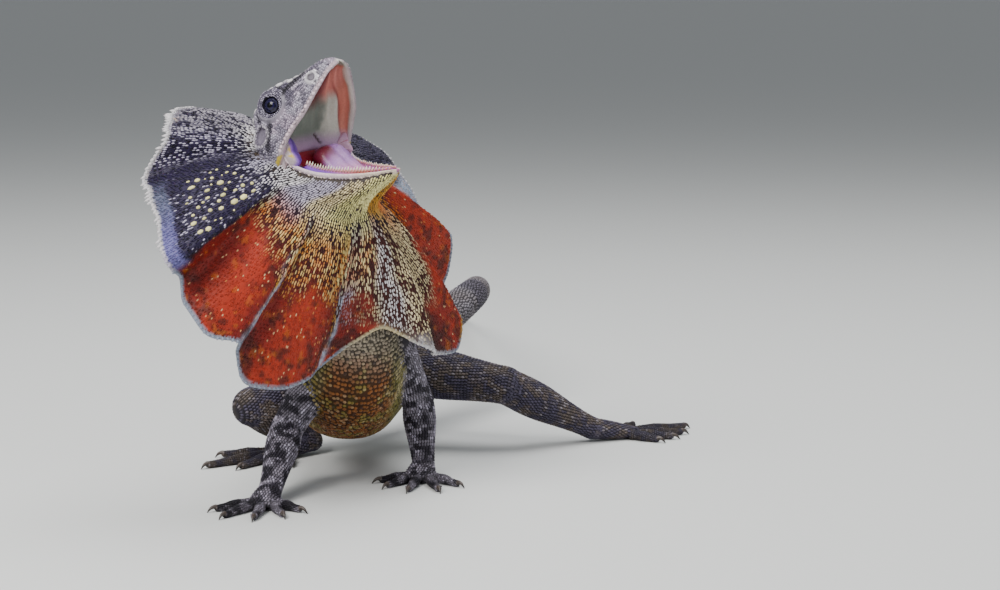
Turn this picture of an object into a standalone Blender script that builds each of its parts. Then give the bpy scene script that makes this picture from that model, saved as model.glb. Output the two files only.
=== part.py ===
"""A life-size frilled lizard in its threat display: mouth wide open, frill spread,
front end raised on stiff arms, hind legs splayed and tail held off the ground.

Lengths in the tables are millimetres and are turned into metres by MM where a mesh is made.
X runs across the animal, -Y is the way that its chest faces, +Z is up and Z = 0 is the ground.
"""

import math

import bmesh
import bpy
import numpy as np

MM = 0.001
GAP = 0.3  # clear distance kept between neighbouring solids
ORIGIN = np.array((-25.6, 236.7, 0.0))  # the model's origin, under the middle of its box


def unit(vector):
    vector = np.asarray(vector, float)
    return vector / np.linalg.norm(vector)


# Tail tip to skull: x, y, z of the centre, half width, half depth
BODY = np.array((
    (-24.0, 520.0, 0.9, 1.2, 1.2),
    (-22.0, 480.0, 8.5, 2.1, 2.1),
    (-19.0, 420.0, 21.5, 3.1, 3.1),
    (-16.0, 360.0, 34.0, 4.2, 4.2),
    (-13.0, 300.0, 45.5, 5.4, 5.4),
    (-11.5, 250.0, 52.5, 6.6, 6.6),
    (-14.0, 214.0, 54.0, 7.6, 7.6),
    (-27.0, 184.0, 47.0, 9.0, 8.8),
    (-43.0, 160.0, 38.0, 10.5, 10.0),
    (-49.0, 142.0, 35.0, 12.5, 12.0),
    (-52.0, 127.0, 35.5, 17.0, 14.5),
    (-59.0, 102.0, 35.0, 22.0, 20.0),
    (-63.0, 76.0, 35.5, 24.5, 23.5),
    (-63.0, 52.0, 40.0, 23.5, 23.5),
    (-60.0, 35.0, 50.0, 21.5, 21.5),
    (-57.5, 27.5, 65.0, 17.0, 16.5),
    (-60.0, 18.5, 86.0, 14.0, 14.5),
    (-66.0, 9.0, 108.0, 16.0, 18.0),
    (-71.6, 1.8, 126.8, 18.5, 20.0),
))
# Which way the back faces beside each row of BODY
BACK = np.array(
    ((0, 0, 1),) * 14
    + ((0, 0.3, 1.0), (-0.1, 0.8, 0.6), (-0.45, 0.9, 0.2), (-0.7, 0.65, 0.2), (-0.753, 0.533, 0.385)),
    float,
)
TAIL_CUTS = (0.0, 2.4, 4.4, 6.3, 9.0)  # rows of BODY between which each length of tail lies
NECK_BASE = 15.0
NECK_TOP = 18.0
BODY_SIDES = 20
TAIL_SIDES = 12

# Skull and lower jaw: the middle of the mouth's corners, and the axes that they point along
MOUTH = np.array((-70.6, 0.0, 138.8))
SKULL_FORWARD = unit((0.270, -0.283, 0.920))
JAW_FORWARD = unit((0.788, -0.575, -0.222))
HEAD_LEFT = unit((0.600, 0.797, 0.069))
SKULL_UP = np.cross(SKULL_FORWARD, HEAD_LEFT)
JAW_UP = np.cross(JAW_FORWARD, HEAD_LEFT)
SKULL_BACK = -11.9  # where the neck ends, along the skull
LIP = 1.8

# Along the skull: x, half width, height of the crown, rise of the palate, drop of the upper lip
SKULL = np.array((
    (-11.9, 18.5, 18.9, 0.0, 0.0),
    (-6.0, 20.4, 21.6, 0.0, 0.0),
    (0.0, 20.2, 23.4, 0.0, 0.0),
    (6.0, 19.2, 25.0, 3.4, 0.1),
    (12.0, 17.4, 24.8, 5.0, 0.9),
    (16.0, 15.8, 23.2, 5.4, 1.7),
    (20.0, 13.9, 19.8, 5.4, 1.8),
    (25.0, 11.5, 14.6, 5.0, 1.5),
    (29.5, 8.9, 11.4, 4.2, 1.2),
    (33.2, 6.7, 8.6, 3.0, 1.0),
    (35.8, 4.3, 5.8, 1.6, 0.8),
    (37.2, 2.0, 3.2, 0.6, 0.6),
))
LIP_FADE = 6.0  # height above the lip at which its drop has faded away
# Along the lower jaw: x, half width, dip of the lip, depth of the chin
JAW = np.array((
    (-1.0, 18.8, -0.6, 12.6),
    (2.5, 17.6, 1.8, 12.8),
    (6.0, 16.4, 3.1, 13.0),
    (12.0, 14.8, 3.5, 13.8),
    (18.0, 13.2, 2.8, 13.6),
    (24.0, 11.2, 1.7, 11.2),
    (30.0, 8.6, 0.1, 8.0),
    (35.0, 5.8, -1.5, 4.8),
    (38.5, 3.4, -2.8, 2.0),
    (40.4, 1.4, -3.4, -0.8),
))
JAW_FLOOR = 4.2
SQUARENESS = 2.6  # power of the head's cross-section: 2 is an ellipse

EYE = (12.8, 12.4, 14.8)  # forward, sideways, up from MOUTH in the skull's axes
EYE_RADIUS = 4.3
LID_RADIUS = 5.0
LID_HEIGHT = 1.7
NOSTRIL = (29.6, 8.2, 5.2)
NOSTRIL_RADIUS = 0.9
EAR = (1.8, 18.4, 12.6)
EAR_RADIUS = 3.4
BROW_HEIGHT = 1.4

TEETH_PER_SIDE = 13
TOOTH_HEIGHT = 1.6
TONGUE = np.array((
    # x along the lower jaw, half width, half height, height of the centre
    (1.0, 3.0, 2.0, -2.6),
    (4.0, 6.4, 4.0, -1.2),
    (8.0, 7.8, 5.2, -0.8),
    (12.0, 8.2, 4.4, -2.2),
    (18.0, 7.6, 3.0, -3.6),
    (24.0, 6.0, 2.3, -3.2),
    (30.0, 3.8, 1.7, -1.8),
    (33.0, 1.4, 0.9, -0.9),
))

# The frill is a fan of ribs: angle round the throat in degrees from the right side (90 is under the chin),
# length, degrees swept back from the disc, and how far the rim is folded forwards there
RIBS = np.array((
    (-86.0, 31.5, 31.0, 0.0),
    (-63.0, 36.0, 30.0, 5.0),
    (-44.0, 36.0, 29.0, 7.0),
    (-29.0, 36.5, 28.0, 5.5),
    (-21.0, 38.0, 31.0, -3.5),
    (-13.0, 40.5, 33.0, -5.5),
    (-2.0, 45.0, 32.0, -1.5),
    (7.0, 51.0, 30.0, 1.5),
    (14.0, 58.5, 30.0, 5.0),
    (20.0, 63.5, 30.0, 6.5),
    (25.0, 55.0, 33.0, -4.0),
    (31.0, 60.0, 35.0, -5.0),
    (40.0, 67.5, 35.0, 0.0),
    (48.0, 67.0, 37.0, 4.5),
    (52.0, 66.0, 38.0, -3.5),
    (58.0, 75.0, 38.0, -3.0),
    (66.0, 77.0, 39.0, 2.0),
    (75.0, 73.0, 40.0, 3.5),
    (84.0, 66.0, 41.0, -2.5),
    (93.0, 59.0, 39.0, 1.5),
    (101.0, 51.5, 27.0, -2.0),
    (107.0, 61.5, 24.0, 2.5),
    (111.0, 71.0, 21.0, 6.0),
    (116.0, 74.0, 18.0, -4.5),
    (123.0, 82.0, 17.0, -1.0),
    (129.0, 77.0, 18.5, 4.0),
    (134.0, 72.0, 21.0, -3.5),
    (141.0, 66.5, 16.0, 0.0),
    (147.0, 57.5, 12.0, 3.5),
    (152.0, 50.5, 11.0, -2.5),
    (158.0, 45.0, 12.0, -1.0),
    (171.0, 37.5, 13.0, 1.5),
    (190.0, 34.5, 18.0, -1.0),
    (206.0, 36.0, 34.0, 1.0),
    (224.0, 37.0, 50.0, 1.0),
    (243.0, 38.0, 56.0, 3.0),
    (266.0, 33.0, 56.0, 0.0),
))
FRILL_PARTS = (
    # name, first and last angle
    ("frill_right_crown", -86.0, -24.0),
    ("frill_right_cheek", -24.0, 22.0),
    ("frill_right_flank", 22.0, 50.0),
    ("frill_right_bib", 50.0, 84.0),
    ("frill_middle_bib", 84.0, 113.0),
    ("frill_left_bib", 113.0, 131.0),
    ("frill_left_flank", 131.0, 149.5),
    ("frill_left_cheek", 149.5, 200.0),
    ("frill_left_crown", 200.0, 266.0),
)
FRILL_COLUMN = 3.4  # degrees between the frill's grid lines
FRILL_ROWS = (-0.12, 0.0, 0.16, 0.34, 0.52, 0.70, 0.86, 1.0)
FRILL_THICK_ROOT = 1.8
FRILL_THICK_RIM = 0.8
FRILL_BULGE = 4.0
RIM_TOOTH = 2.4

# Limbs: their joints from the body outwards (root, elbow or knee, wrist or heel, knuckles)
ARMS = {
    "right": ((-70.0, 32.0, 52.0), (-86.0, 30.5, 24.0), (-90.0, -1.0, 5.2), (-92.0, -13.0, 2.2)),
    "left": ((-45.0, 37.0, 58.0), (-34.0, 56.0, 31.0), (-31.5, 49.0, 5.4), (-33.0, 37.0, 2.2)),
}
LEGS = {
    "right": ((-62.0, 119.0, 36.0), (-106.0, 86.0, 23.0), (-82.0, 99.0, 6.0), (-97.0, 84.0, 2.4)),
    "left": ((-46.0, 120.0, 35.0), (2.0, 111.0, 28.0), (41.0, 126.0, 6.0), (60.0, 136.0, 2.4)),
}
# Girths of a length of limb: fraction of it, half width, half depth
UPPER_ARM = ((0.0, 10.0, 10.0), (0.5, 8.4, 8.4), (0.85, 7.0, 7.0), (1.0, 6.8, 6.8))
FOREARM = ((0.0, 6.6, 6.6), (0.3, 7.0, 7.0), (0.75, 5.4, 5.4), (1.0, 4.8, 4.8))
PALM = ((0.0, 4.6, 4.4), (0.5, 6.2, 3.8), (1.0, 6.6, 2.4))
THIGH = ((0.0, 12.5, 12.5), (0.45, 11.2, 11.2), (0.85, 9.0, 9.0), (1.0, 8.6, 8.6))
SHIN = ((0.0, 8.2, 8.2), (0.35, 8.4, 8.4), (0.8, 5.8, 5.8), (1.0, 5.2, 5.2))
INSTEP = ((0.0, 5.0, 4.8), (0.5, 5.4, 4.0), (1.0, 6.4, 2.6))
LIMB_SIDES = 12
# Digits, inner one first: degrees off the way the foot points, length without the claw
FINGERS = ((-62.0, 8.0), (-30.0, 13.0), (-4.0, 17.0), (22.0, 17.0), (52.0, 11.0))
TOES = ((-58.0, 9.0), (-32.0, 15.0), (-12.0, 22.0), (6.0, 30.0), (44.0, 17.0))
FINGER_RADIUS = 2.0
TOE_RADIUS = 2.2
CLAW_LENGTH = 4.2
SOLE_DEPTH = 0.35  # how far the digits reach below the ground, which takes that off as flats

COLOURS = {
    # red, green, blue, roughness
    "scaly_grey": (0.30, 0.27, 0.30, 0.7),
    "frill_dark": (0.12, 0.10, 0.16, 0.7),
    "frill_orange": (0.55, 0.13, 0.05, 0.65),
    "chest_rust": (0.35, 0.22, 0.10, 0.7),
    "mouth_pink": (0.75, 0.45, 0.50, 0.35),
    "eye_dark": (0.05, 0.05, 0.08, 0.1),
}


def clear_scene():
    for old in list(bpy.data.objects):
        bpy.data.objects.remove(old)


def material(name):
    made = bpy.data.materials.get(name)
    if made:
        return made
    made = bpy.data.materials.new(name)
    made.use_nodes = True
    shader = made.node_tree.nodes["Principled BSDF"]
    red, green, blue, rough = COLOURS[name]
    shader.inputs["Base Color"].default_value = (red, green, blue, 1.0)
    shader.inputs["Roughness"].default_value = rough
    shader.inputs["Metallic"].default_value = 0.0
    return made


def smooth(table, at):
    """A table's rows read at fractional row numbers, along a curve that passes through every row."""
    table = np.asarray(table, float)
    at = np.clip(np.atleast_1d(np.asarray(at, float)), 0, len(table) - 1)
    row = np.minimum(at.astype(int), len(table) - 2)
    part = (at - row)[:, None]
    before = table[np.maximum(row - 1, 0)]
    here, after = table[row], table[row + 1]
    beyond = table[np.minimum(row + 2, len(table) - 1)]
    slope_in, slope_out = (after - before) / 2, (beyond - here) / 2
    return (
        here * (2 * part**3 - 3 * part**2 + 1)
        + slope_in * (part**3 - 2 * part**2 + part)
        + after * (3 * part**2 - 2 * part**3)
        + slope_out * (part**3 - part**2)
    )


def look_up(table, at):
    """The table's other columns where its first column has the values at, along the same curve."""
    table = np.asarray(table, float)
    rows = np.interp(at, table[:, 0], np.arange(len(table)))
    return smooth(table[:, 1:], rows)


def frames(centres, backs, last, share):
    """Unit tangent, side and back vectors at each centre of a path, whose tangents turn to last as share nears 1."""
    tangents = np.gradient(centres, axis=0)
    tangents /= np.linalg.norm(tangents, axis=1)[:, None]
    tangents = tangents * (1 - share)[:, None] + np.outer(share, last)
    tangents /= np.linalg.norm(tangents, axis=1)[:, None]
    sides = np.cross(tangents, backs)
    sides /= np.linalg.norm(sides, axis=1)[:, None]
    return tangents, sides, np.cross(sides, tangents)


def tube(centres, sides, backs, widths, depths, count, power=2.0):
    """Rings of points round a path: superellipses of the given half widths and depths."""
    turn = np.linspace(0, 2 * math.pi, count, endpoint=False)
    across = np.sign(np.cos(turn)) * np.abs(np.cos(turn)) ** (2 / power)
    along = np.sign(np.sin(turn)) * np.abs(np.sin(turn)) ** (2 / power)
    return (
        centres[:, None]
        + sides[:, None] * (widths[:, None] * across)[..., None]
        + backs[:, None] * (depths[:, None] * along)[..., None]
    )


def object_of(name, points, faces, finish):
    """A mesh object from points in millimetres, with its faces turned outwards."""
    mesh = bpy.data.meshes.new(name)
    placed = (np.asarray(points, float) - ORIGIN) * MM
    mesh.from_pydata([tuple(p) for p in placed], [], [tuple(int(i) for i in f) for f in faces])
    edit = bmesh.new()
    edit.from_mesh(mesh)
    bmesh.ops.recalc_face_normals(edit, faces=edit.faces)
    edit.to_mesh(mesh)
    edit.free()
    mesh.materials.append(material(finish))
    made = bpy.data.objects.new(name, mesh)
    bpy.context.scene.collection.objects.link(made)
    return made


def loft(name, rings, finish):
    """Rings of equal count bridged in order, with a flat cap at each end."""
    count, around = rings.shape[:2]
    faces = []
    for i in range(count - 1):
        for j in range(around):
            k = (j + 1) % around
            faces.append((i * around + j, i * around + k, (i + 1) * around + k, (i + 1) * around + j))
    faces.append(tuple(range(around))[::-1])
    faces.append(tuple((count - 1) * around + j for j in range(around)))
    return object_of(name, rings.reshape(-1, 3), faces, finish)


def helper(obj):
    """Marks a cutter, which isn't part of the model."""
    obj.hide_render = True
    obj.display_type = "WIRE"
    return obj


def drop(*objs):
    for obj in objs:
        mesh = obj.data
        bpy.data.objects.remove(obj)
        if mesh.users == 0:
            bpy.data.meshes.remove(mesh)


def apply_modifiers(obj):
    graph = bpy.context.evaluated_depsgraph_get()
    graph.update()
    done = bpy.data.meshes.new_from_object(obj.evaluated_get(graph))
    old = obj.data
    obj.modifiers.clear()
    obj.data = done
    done.name = obj.name
    if old.users == 0:
        bpy.data.meshes.remove(old)


def gathered(objs, name):
    group = bpy.data.collections.new(name)
    bpy.context.scene.collection.children.link(group)
    for obj in objs:
        for old in list(obj.users_collection):
            old.objects.unlink(obj)
        group.objects.link(obj)
    return group


def boolean(obj, operation, others, solver="EXACT"):
    """Cuts others from obj, or joins them to it, and removes them."""
    group = gathered([helper(o) for o in others], obj.name + "_tools")
    step = obj.modifiers.new(operation.lower(), "BOOLEAN")
    step.operation = operation
    step.solver = solver
    step.operand_type = "COLLECTION"
    step.collection = group
    apply_modifiers(obj)
    drop(*others)
    bpy.data.collections.remove(group)
    keep_largest(obj)


def keep_largest(obj):
    """Leaves only the closed surface that holds the most volume."""
    edit = bmesh.new()
    edit.from_mesh(obj.data)
    left = set(edit.faces)
    islands = []
    while left:
        seed = left.pop()
        island, front = {seed}, [seed]
        while front:
            face = front.pop()
            for edge in face.edges:
                for other in edge.link_faces:
                    if other in left:
                        left.remove(other)
                        island.add(other)
                        front.append(other)
        islands.append(island)
    if len(islands) > 1:
        islands.sort(key=island_volume)
        loose = [face for island in islands[:-1] for face in island]
        bmesh.ops.delete(edit, geom=loose, context="FACES")
        bmesh.ops.delete(edit, geom=[v for v in edit.verts if not v.link_faces], context="VERTS")
    edit.to_mesh(obj.data)
    edit.free()


def island_volume(island):
    """Volume inside some faces, as a sum of signed cones from the origin."""
    total = 0.0
    for face in island:
        corners = [v.co for v in face.verts]
        for i in range(1, len(corners) - 1):
            total += corners[0].dot(corners[i].cross(corners[i + 1])) / 6
    return total


def swollen(obj, by=GAP):
    """A copy of obj with every point moved out along its normal, used to cut a clear gap."""
    copy = obj.copy()
    copy.data = obj.data.copy()
    copy.name = obj.name + "_swollen"
    bpy.context.scene.collection.objects.link(copy)
    edit = bmesh.new()
    edit.from_mesh(copy.data)
    bmesh.ops.triangulate(edit, faces=edit.faces)
    edit.normal_update()
    moves = []
    for vert in edit.verts:
        stretch = min(max(vert.calc_shell_factor(), 1.0), 1.6)
        moves.append(vert.co + vert.normal * by * MM * stretch)
    for vert, spot in zip(edit.verts, moves):
        vert.co = spot
    edit.to_mesh(copy.data)
    edit.free()
    return copy


def slab(name, centre, normal, size, depth):
    """A box whose top face passes through centre, square to normal, used to cut a flat."""
    normal = unit(normal)
    side = unit(np.cross(normal, (0.31, 0.52, 0.79)))
    other = np.cross(normal, side)
    top = [centre + size * (a * side + b * other) for a, b in ((-1, -1), (1, -1), (1, 1), (-1, 1))]
    points = top + [p - depth * normal for p in top]
    faces = [(0, 1, 2, 3), (7, 6, 5, 4)] + [(i, (i + 1) % 4, 4 + (i + 1) % 4, 4 + i) for i in range(4)]
    return object_of(name, points, faces, "scaly_grey")


def body_rings(first, last, count, around):
    """Rings of the trunk, neck or tail between two rows of BODY, the end rings drawn in by half a gap."""
    rows = np.linspace(first, last, count)
    fine = np.linspace(0, NECK_TOP, 361)
    centres = smooth(BODY[:, :3], fine)
    share = np.clip((fine - NECK_BASE - 0.6) / 1.8, 0, 1)
    tangents, sides, backs = frames(centres, smooth(BACK, fine), SKULL_FORWARD, share)
    sizes = smooth(BODY[:, 3:], rows)
    pick = lambda values: np.stack([np.interp(rows, fine, values[:, i]) for i in range(3)], 1)
    middle, along = pick(centres), pick(tangents)
    if first > 0:
        middle[0] += along[0] * GAP / 2
    if last < NECK_TOP:
        middle[-1] -= along[-1] * GAP / 2
    return tube(middle, pick(sides), pick(backs), sizes[:, 0], sizes[:, 1], around)


def build_trunk():
    parts = {}
    for number, (first, last) in enumerate(zip(TAIL_CUTS[::-1][1:], TAIL_CUTS[::-1]), 1):
        name = f"tail_{number}"
        parts[name] = loft(name, body_rings(first, last, 7, TAIL_SIDES), "scaly_grey")
    level_off(parts["tail_4"], BODY[0])
    parts["torso"] = loft("torso", body_rings(TAIL_CUTS[-1], NECK_BASE, 19, BODY_SIDES), "chest_rust")
    parts["neck"] = loft("neck", body_rings(NECK_BASE, NECK_TOP, 12, BODY_SIDES), "scaly_grey")
    return parts


def skull_point(x, y, z):
    return MOUTH + np.multiply.outer(x, SKULL_FORWARD) + np.multiply.outer(y, HEAD_LEFT) + np.multiply.outer(
        z, SKULL_UP
    )


def jaw_point(x, y, z):
    return MOUTH + np.multiply.outer(x, JAW_FORWARD) + np.multiply.outer(y, HEAD_LEFT) + np.multiply.outer(
        z, JAW_UP
    )


def bump(x, y, z, centre, radius, width):
    """How near each point lies to a ring round centre, 1 on it and 0 away from it."""
    away = np.sqrt((x - centre[0]) ** 2 + (np.abs(y) - centre[1]) ** 2 + (z - centre[2]) ** 2)
    return np.exp(-(((away - radius) / width) ** 2))


def skull_rings(count, arch, palate):
    """Rings of the upper head: a domed arch over it and the palate under it, with lids, brows and nostrils."""
    x = np.concatenate((
        np.linspace(SKULL_BACK + GAP, 33.6, count - 4),
        (35.1, 36.2, 36.9, 37.2),
    ))
    half, crown, rise, drop = look_up(SKULL, x).T
    over = np.linspace(0, math.pi, arch)
    under = np.linspace(math.pi, 2 * math.pi, palate + 2)[1:-1]
    y = half[:, None] * np.sign(np.cos(over)) * np.abs(np.cos(over)) ** (2 / SQUARENESS)
    z = crown[:, None] * np.sin(over) ** (2 / SQUARENESS)
    xs = np.repeat(x[:, None], arch, 1)
    swell = LID_HEIGHT * bump(xs, y, z, (EYE[0], EYE[1] + 1.6, EYE[2]), LID_RADIUS, 1.5)
    swell += 0.9 * bump(xs, y, z, (NOSTRIL[0], NOSTRIL[1] + 0.6, NOSTRIL[2]), 1.9, 0.9)
    brow = np.exp(-(((z - 0.86 * crown[:, None]) / 2.6) ** 2)) * np.exp(-(((xs - 14) / 9.5) ** 4))
    swell += BROW_HEIGHT * brow * (np.abs(y) > 3)
    temple = np.exp(-(((xs + 2) / 7.5) ** 2) - ((z - 10) / 7.0) ** 2)
    swell += 1.0 * temple
    away = np.sqrt(y**2 + (z * 0.8) ** 2) + 1e-6
    y, z = y * (1 + swell / away), z * (1 + 0.64 * swell / away)
    z -= drop[:, None] * np.clip(1 - z / LIP_FADE, 0, 1)
    inner = np.maximum(half - LIP, half * 0.4)
    y_in = inner[:, None] * np.cos(under)
    z_in = rise[:, None] * np.abs(np.sin(under)) ** 0.8 - drop[:, None] * np.abs(np.cos(under))
    return skull_point(
        np.concatenate((xs, np.repeat(x[:, None], palate, 1)), 1),
        np.concatenate((y, y_in), 1),
        np.concatenate((z, z_in), 1),
    )


def jaw_rings(count, chin, floor):
    """Rings of the lower jaw: the chin's arch under it and the mouth's floor over it."""
    x = np.concatenate((np.linspace(JAW[0, 0], 37.0, count - 3), (38.8, 40.0, 40.6)))
    half, dip, deep = look_up(JAW, x).T
    under = np.linspace(0, math.pi, chin)
    over = np.linspace(math.pi, 2 * math.pi, floor + 2)[1:-1]
    y = half[:, None] * np.sign(np.cos(under)) * np.abs(np.cos(under)) ** (2 / SQUARENESS)
    z = -dip[:, None] - (deep - dip)[:, None] * np.sin(under) ** (2 / SQUARENESS)
    inner = np.maximum(half - LIP, half * 0.4)
    depth = np.minimum(JAW_FLOOR, 0.55 * (deep - dip)) * np.clip(x / 6.0, 0, 1)
    y_in = inner[:, None] * np.cos(over)
    z_in = -dip[:, None] - depth[:, None] * np.abs(np.sin(over)) ** 0.6
    xs = np.repeat(x[:, None], chin + floor, 1)
    return jaw_point(xs, np.concatenate((y, y_in), 1), np.concatenate((z, z_in), 1))


def ball(name, centre, radius, finish, stretch=(1, 1, 1), detail=3):
    """A sphere, or an ellipsoid whose stretches run along the skull's axes."""
    mesh = bpy.data.meshes.new(name)
    edit = bmesh.new()
    bmesh.ops.create_icosphere(edit, subdivisions=detail, radius=1.0)
    edit.to_mesh(mesh)
    edit.free()
    points = np.array([v.co for v in mesh.vertices]) * radius * np.array(stretch)
    faces = [tuple(f.vertices) for f in mesh.polygons]
    bpy.data.meshes.remove(mesh)
    return object_of(name, skull_point(*(points + np.asarray(centre)).T), faces, finish)


def tooth(at, side):
    """A small cone inside the lower lip, its root sunk in the gum."""
    half, dip, _ = look_up(JAW, at)[0]
    base = jaw_point(at, side * (half - 1.3), -dip - 0.9)
    tip = jaw_point(at + 0.2, side * (half - 1.4), -dip + TOOTH_HEIGHT)
    axis = unit(tip - base)
    across = unit(np.cross(axis, HEAD_LEFT))
    other = np.cross(axis, across)
    ring = [base + 0.9 * (math.cos(a) * across + 0.6 * math.sin(a) * other) for a in np.arange(4) * math.pi / 2]
    faces = [(i, (i + 1) % 4, 4) for i in range(4)] + [(3, 2, 1, 0)]
    return object_of("tooth", [*ring, tip], faces, "mouth_pink")


def teeth(first, last):
    return [tooth(at, side) for side in (-1, 1) for at in np.linspace(first, last, TEETH_PER_SIDE)]


def build_head(neck):
    parts = {}
    skull = loft("head", skull_rings(26, 21, 7), "scaly_grey")
    cutters = []
    for side, word in ((1, "left"), (-1, "right")):
        centre = (EYE[0], side * EYE[1], EYE[2])
        parts[f"eye_{word}"] = ball(f"eye_{word}", centre, EYE_RADIUS, "eye_dark")
        cutters.append(ball(f"socket_{word}", centre, EYE_RADIUS + GAP, "eye_dark"))
        pit = (NOSTRIL[0], side * (NOSTRIL[1] + 0.9), NOSTRIL[2])
        cutters.append(ball(f"nostril_{word}", pit, NOSTRIL_RADIUS, "eye_dark", (1.2, 1.5, 1), 2))
        cup = (EAR[0], side * (EAR[1] + 1.0), EAR[2])
        cutters.append(ball(f"ear_{word}", cup, EAR_RADIUS, "eye_dark", (1, 0.5, 1.1), 2))
    boolean(skull, "DIFFERENCE", cutters)
    parts["head"] = skull
    jaw = loft("lower_jaw", jaw_rings(18, 13, 9), "scaly_grey")
    below_neck = MOUTH + (SKULL_BACK + GAP) * SKULL_FORWARD
    boolean(jaw, "DIFFERENCE", [slab("neck_plane", below_neck, SKULL_FORWARD, 60.0, 60.0)])
    boolean(jaw, "UNION", teeth(9.0, 36.0))
    boolean(jaw, "DIFFERENCE", [swollen(skull), swollen(neck)])
    parts["lower_jaw"] = jaw
    x = np.linspace(TONGUE[0, 0], TONGUE[-1, 0], 9)
    half, high, middle = look_up(TONGUE, x).T
    centres = jaw_point(x, np.zeros_like(x), middle)
    sides, ups = np.repeat(HEAD_LEFT[None], 9, 0), np.repeat(JAW_UP[None], 9, 0)
    tongue = loft("tongue", tube(centres, sides, ups, half, high, 12), "mouth_pink")
    boolean(tongue, "DIFFERENCE", [swollen(jaw), swollen(skull)])
    parts["tongue"] = tongue
    return parts


def limb_length(name, start, end, girths, across, finish="scaly_grey"):
    """A length of limb between two joints, with a dome at each."""
    start, end = np.array(start), np.array(end)
    axis = end - start
    span = np.linalg.norm(axis)
    axis = axis / span
    side = unit(across - axis * np.dot(across, axis))
    up = np.cross(side, axis)
    bend = np.array((0.98, 0.8, 0.45))
    first, last = girths[0], girths[-1]
    along = np.concatenate((
        -np.sqrt(1 - bend[::-1] ** 2) * min(first[1:]),
        np.linspace(0, 1, 5) * span,
        span + np.sqrt(1 - bend**2) * min(last[1:]),
    ))
    scale = np.concatenate((bend[::-1], np.ones(5), bend))
    half, deep = (look_up(girths, along / span) * scale[:, None]).T
    centres = start + np.outer(along, axis)
    count = len(along)
    sides, ups = np.repeat(side[None], count, 0), np.repeat(up[None], count, 0)
    return loft(name, tube(centres, sides, ups, half, deep, LIMB_SIDES), finish)


def digit(name, base, heading, length, radius):
    """A finger or toe that arches up to its knuckle and down to the ground, with its claw."""
    heading = unit(heading)
    steps = np.array((0.0, 0.28, 0.52, 0.78, 1.0, 1.06, 1.16, 1.26))
    reach = length * steps
    reach[5:] = length + CLAW_LENGTH * np.array((0.2, 0.64, 1.0))
    lift = np.array((0.8, 1.0, 1.05, 0.9, 0.85, 0.95, 0.75, 0.18)) * radius
    girth = np.array((1.1, 1.0, 1.12, 0.86, 0.72, 0.50, 0.34, 0.08)) * radius
    centres = base + np.outer(reach, heading)
    centres[:, 2] = np.interp(steps, (0, 0.5, 1.26), (base[2], base[2] * 0.2, 0)) + lift - SOLE_DEPTH
    sides = np.repeat(unit(np.cross(heading, (0, 0, 1)))[None], 8, 0)
    ups = np.repeat(np.array(((0.0, 0.0, 1.0),)), 8, 0)
    return loft(name, tube(centres, sides, ups, girth, girth, 5), "scaly_grey")


def level_off(obj, near):
    """Takes off what lies below the ground, near a point."""
    boolean(obj, "DIFFERENCE", [slab("ground", np.array((near[0], near[1], 0.0)), (0, 0, 1), 90.0, 30.0)])


def build_limb(name, joints, girths, words, digits, side, radius):
    """Three nodes: the limb's two lengths and its hand or foot."""
    joints = np.array(joints)
    heading = unit((joints[3] - joints[2]) * (1, 1, 0))
    level = np.cross(heading, (0, 0, 1))
    bend = np.cross(joints[1] - joints[0], joints[2] - joints[1])
    nodes = [f"{word}_{name}" for word in words]
    upper = limb_length(nodes[0], joints[0], joints[1], girths[0], bend)
    lower = limb_length(nodes[1], joints[1], joints[2], girths[1], bend)
    sole = limb_length(nodes[2], joints[2], joints[3], girths[2], level)
    pieces = []
    for number, (angle, length) in enumerate(digits):
        turn = math.radians(side * angle)
        way = np.array((
            heading[0] * math.cos(turn) - heading[1] * math.sin(turn),
            heading[0] * math.sin(turn) + heading[1] * math.cos(turn),
            0.0,
        ))
        across = np.cross((0, 0, 1), heading) * side
        base = joints[3] - heading * 4.0 + across * (number - 2) * 2.3
        base[2] = 0.9
        pieces.append(digit(f"digit_{number}", base, way, length + 4.0, radius))
    clearance = swollen(sole)
    boolean(sole, "UNION", pieces)
    level_off(sole, joints[3])
    boolean(lower, "DIFFERENCE", [swollen(upper), clearance])
    return dict(zip(nodes, (upper, lower, sole)))


def frill_axes():
    """The disc's axes: its facing direction and the way down from the mouth."""
    facing = unit(SKULL_FORWARD + JAW_FORWARD)
    return facing, -np.cross(facing, HEAD_LEFT)


def frill_surface(angles, steps):
    """The frill's middle surface: ribs from a ring round the head and throat out to the rim."""
    facing, down = frill_axes()
    reach, sweep, fold = look_up(RIBS, angles).T
    turn, sweep = np.radians(angles), np.radians(sweep)
    across, lift = -np.outer(np.cos(turn), HEAD_LEFT), np.sin(turn)[:, None]
    below = lift > 0
    hub = MOUTH + 19.5 * across + (np.where(below, 30.0, 7.5) * lift - 3.4) * down + (17.5 * lift - 9.4) * facing
    rim = hub + reach[:, None] * (
        (across + lift * down) * np.cos(sweep)[:, None] - np.outer(np.sin(sweep), facing)
    )
    root = (
        MOUTH
        + 19.5 * across
        + (np.where(below, 30.0, 13.0) * lift - 3.4) * down
        + (np.where(below, 17.5, 7.5) * lift - 9.4) * facing
    )
    t = np.asarray(steps)[None, :, None]
    rise = FRILL_BULGE * np.sin(math.pi * np.clip(t, 0, 1)) + fold[:, None, None] * np.clip(t, 0, 1) ** 1.4
    return root[:, None] + (rim - root)[:, None] * t + rise * facing


def rim_teeth(angles):
    """Every other grid line reaches past the rim, as a row of pointed scales."""
    tall = np.interp(angles, (-86, -20, 22, 60, 120, 160, 200, 266), (1, 1, 0.7, 0.25, 0.3, 0.7, 1, 1))
    return RIM_TOOTH * tall * (np.arange(len(angles)) % 2)


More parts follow.
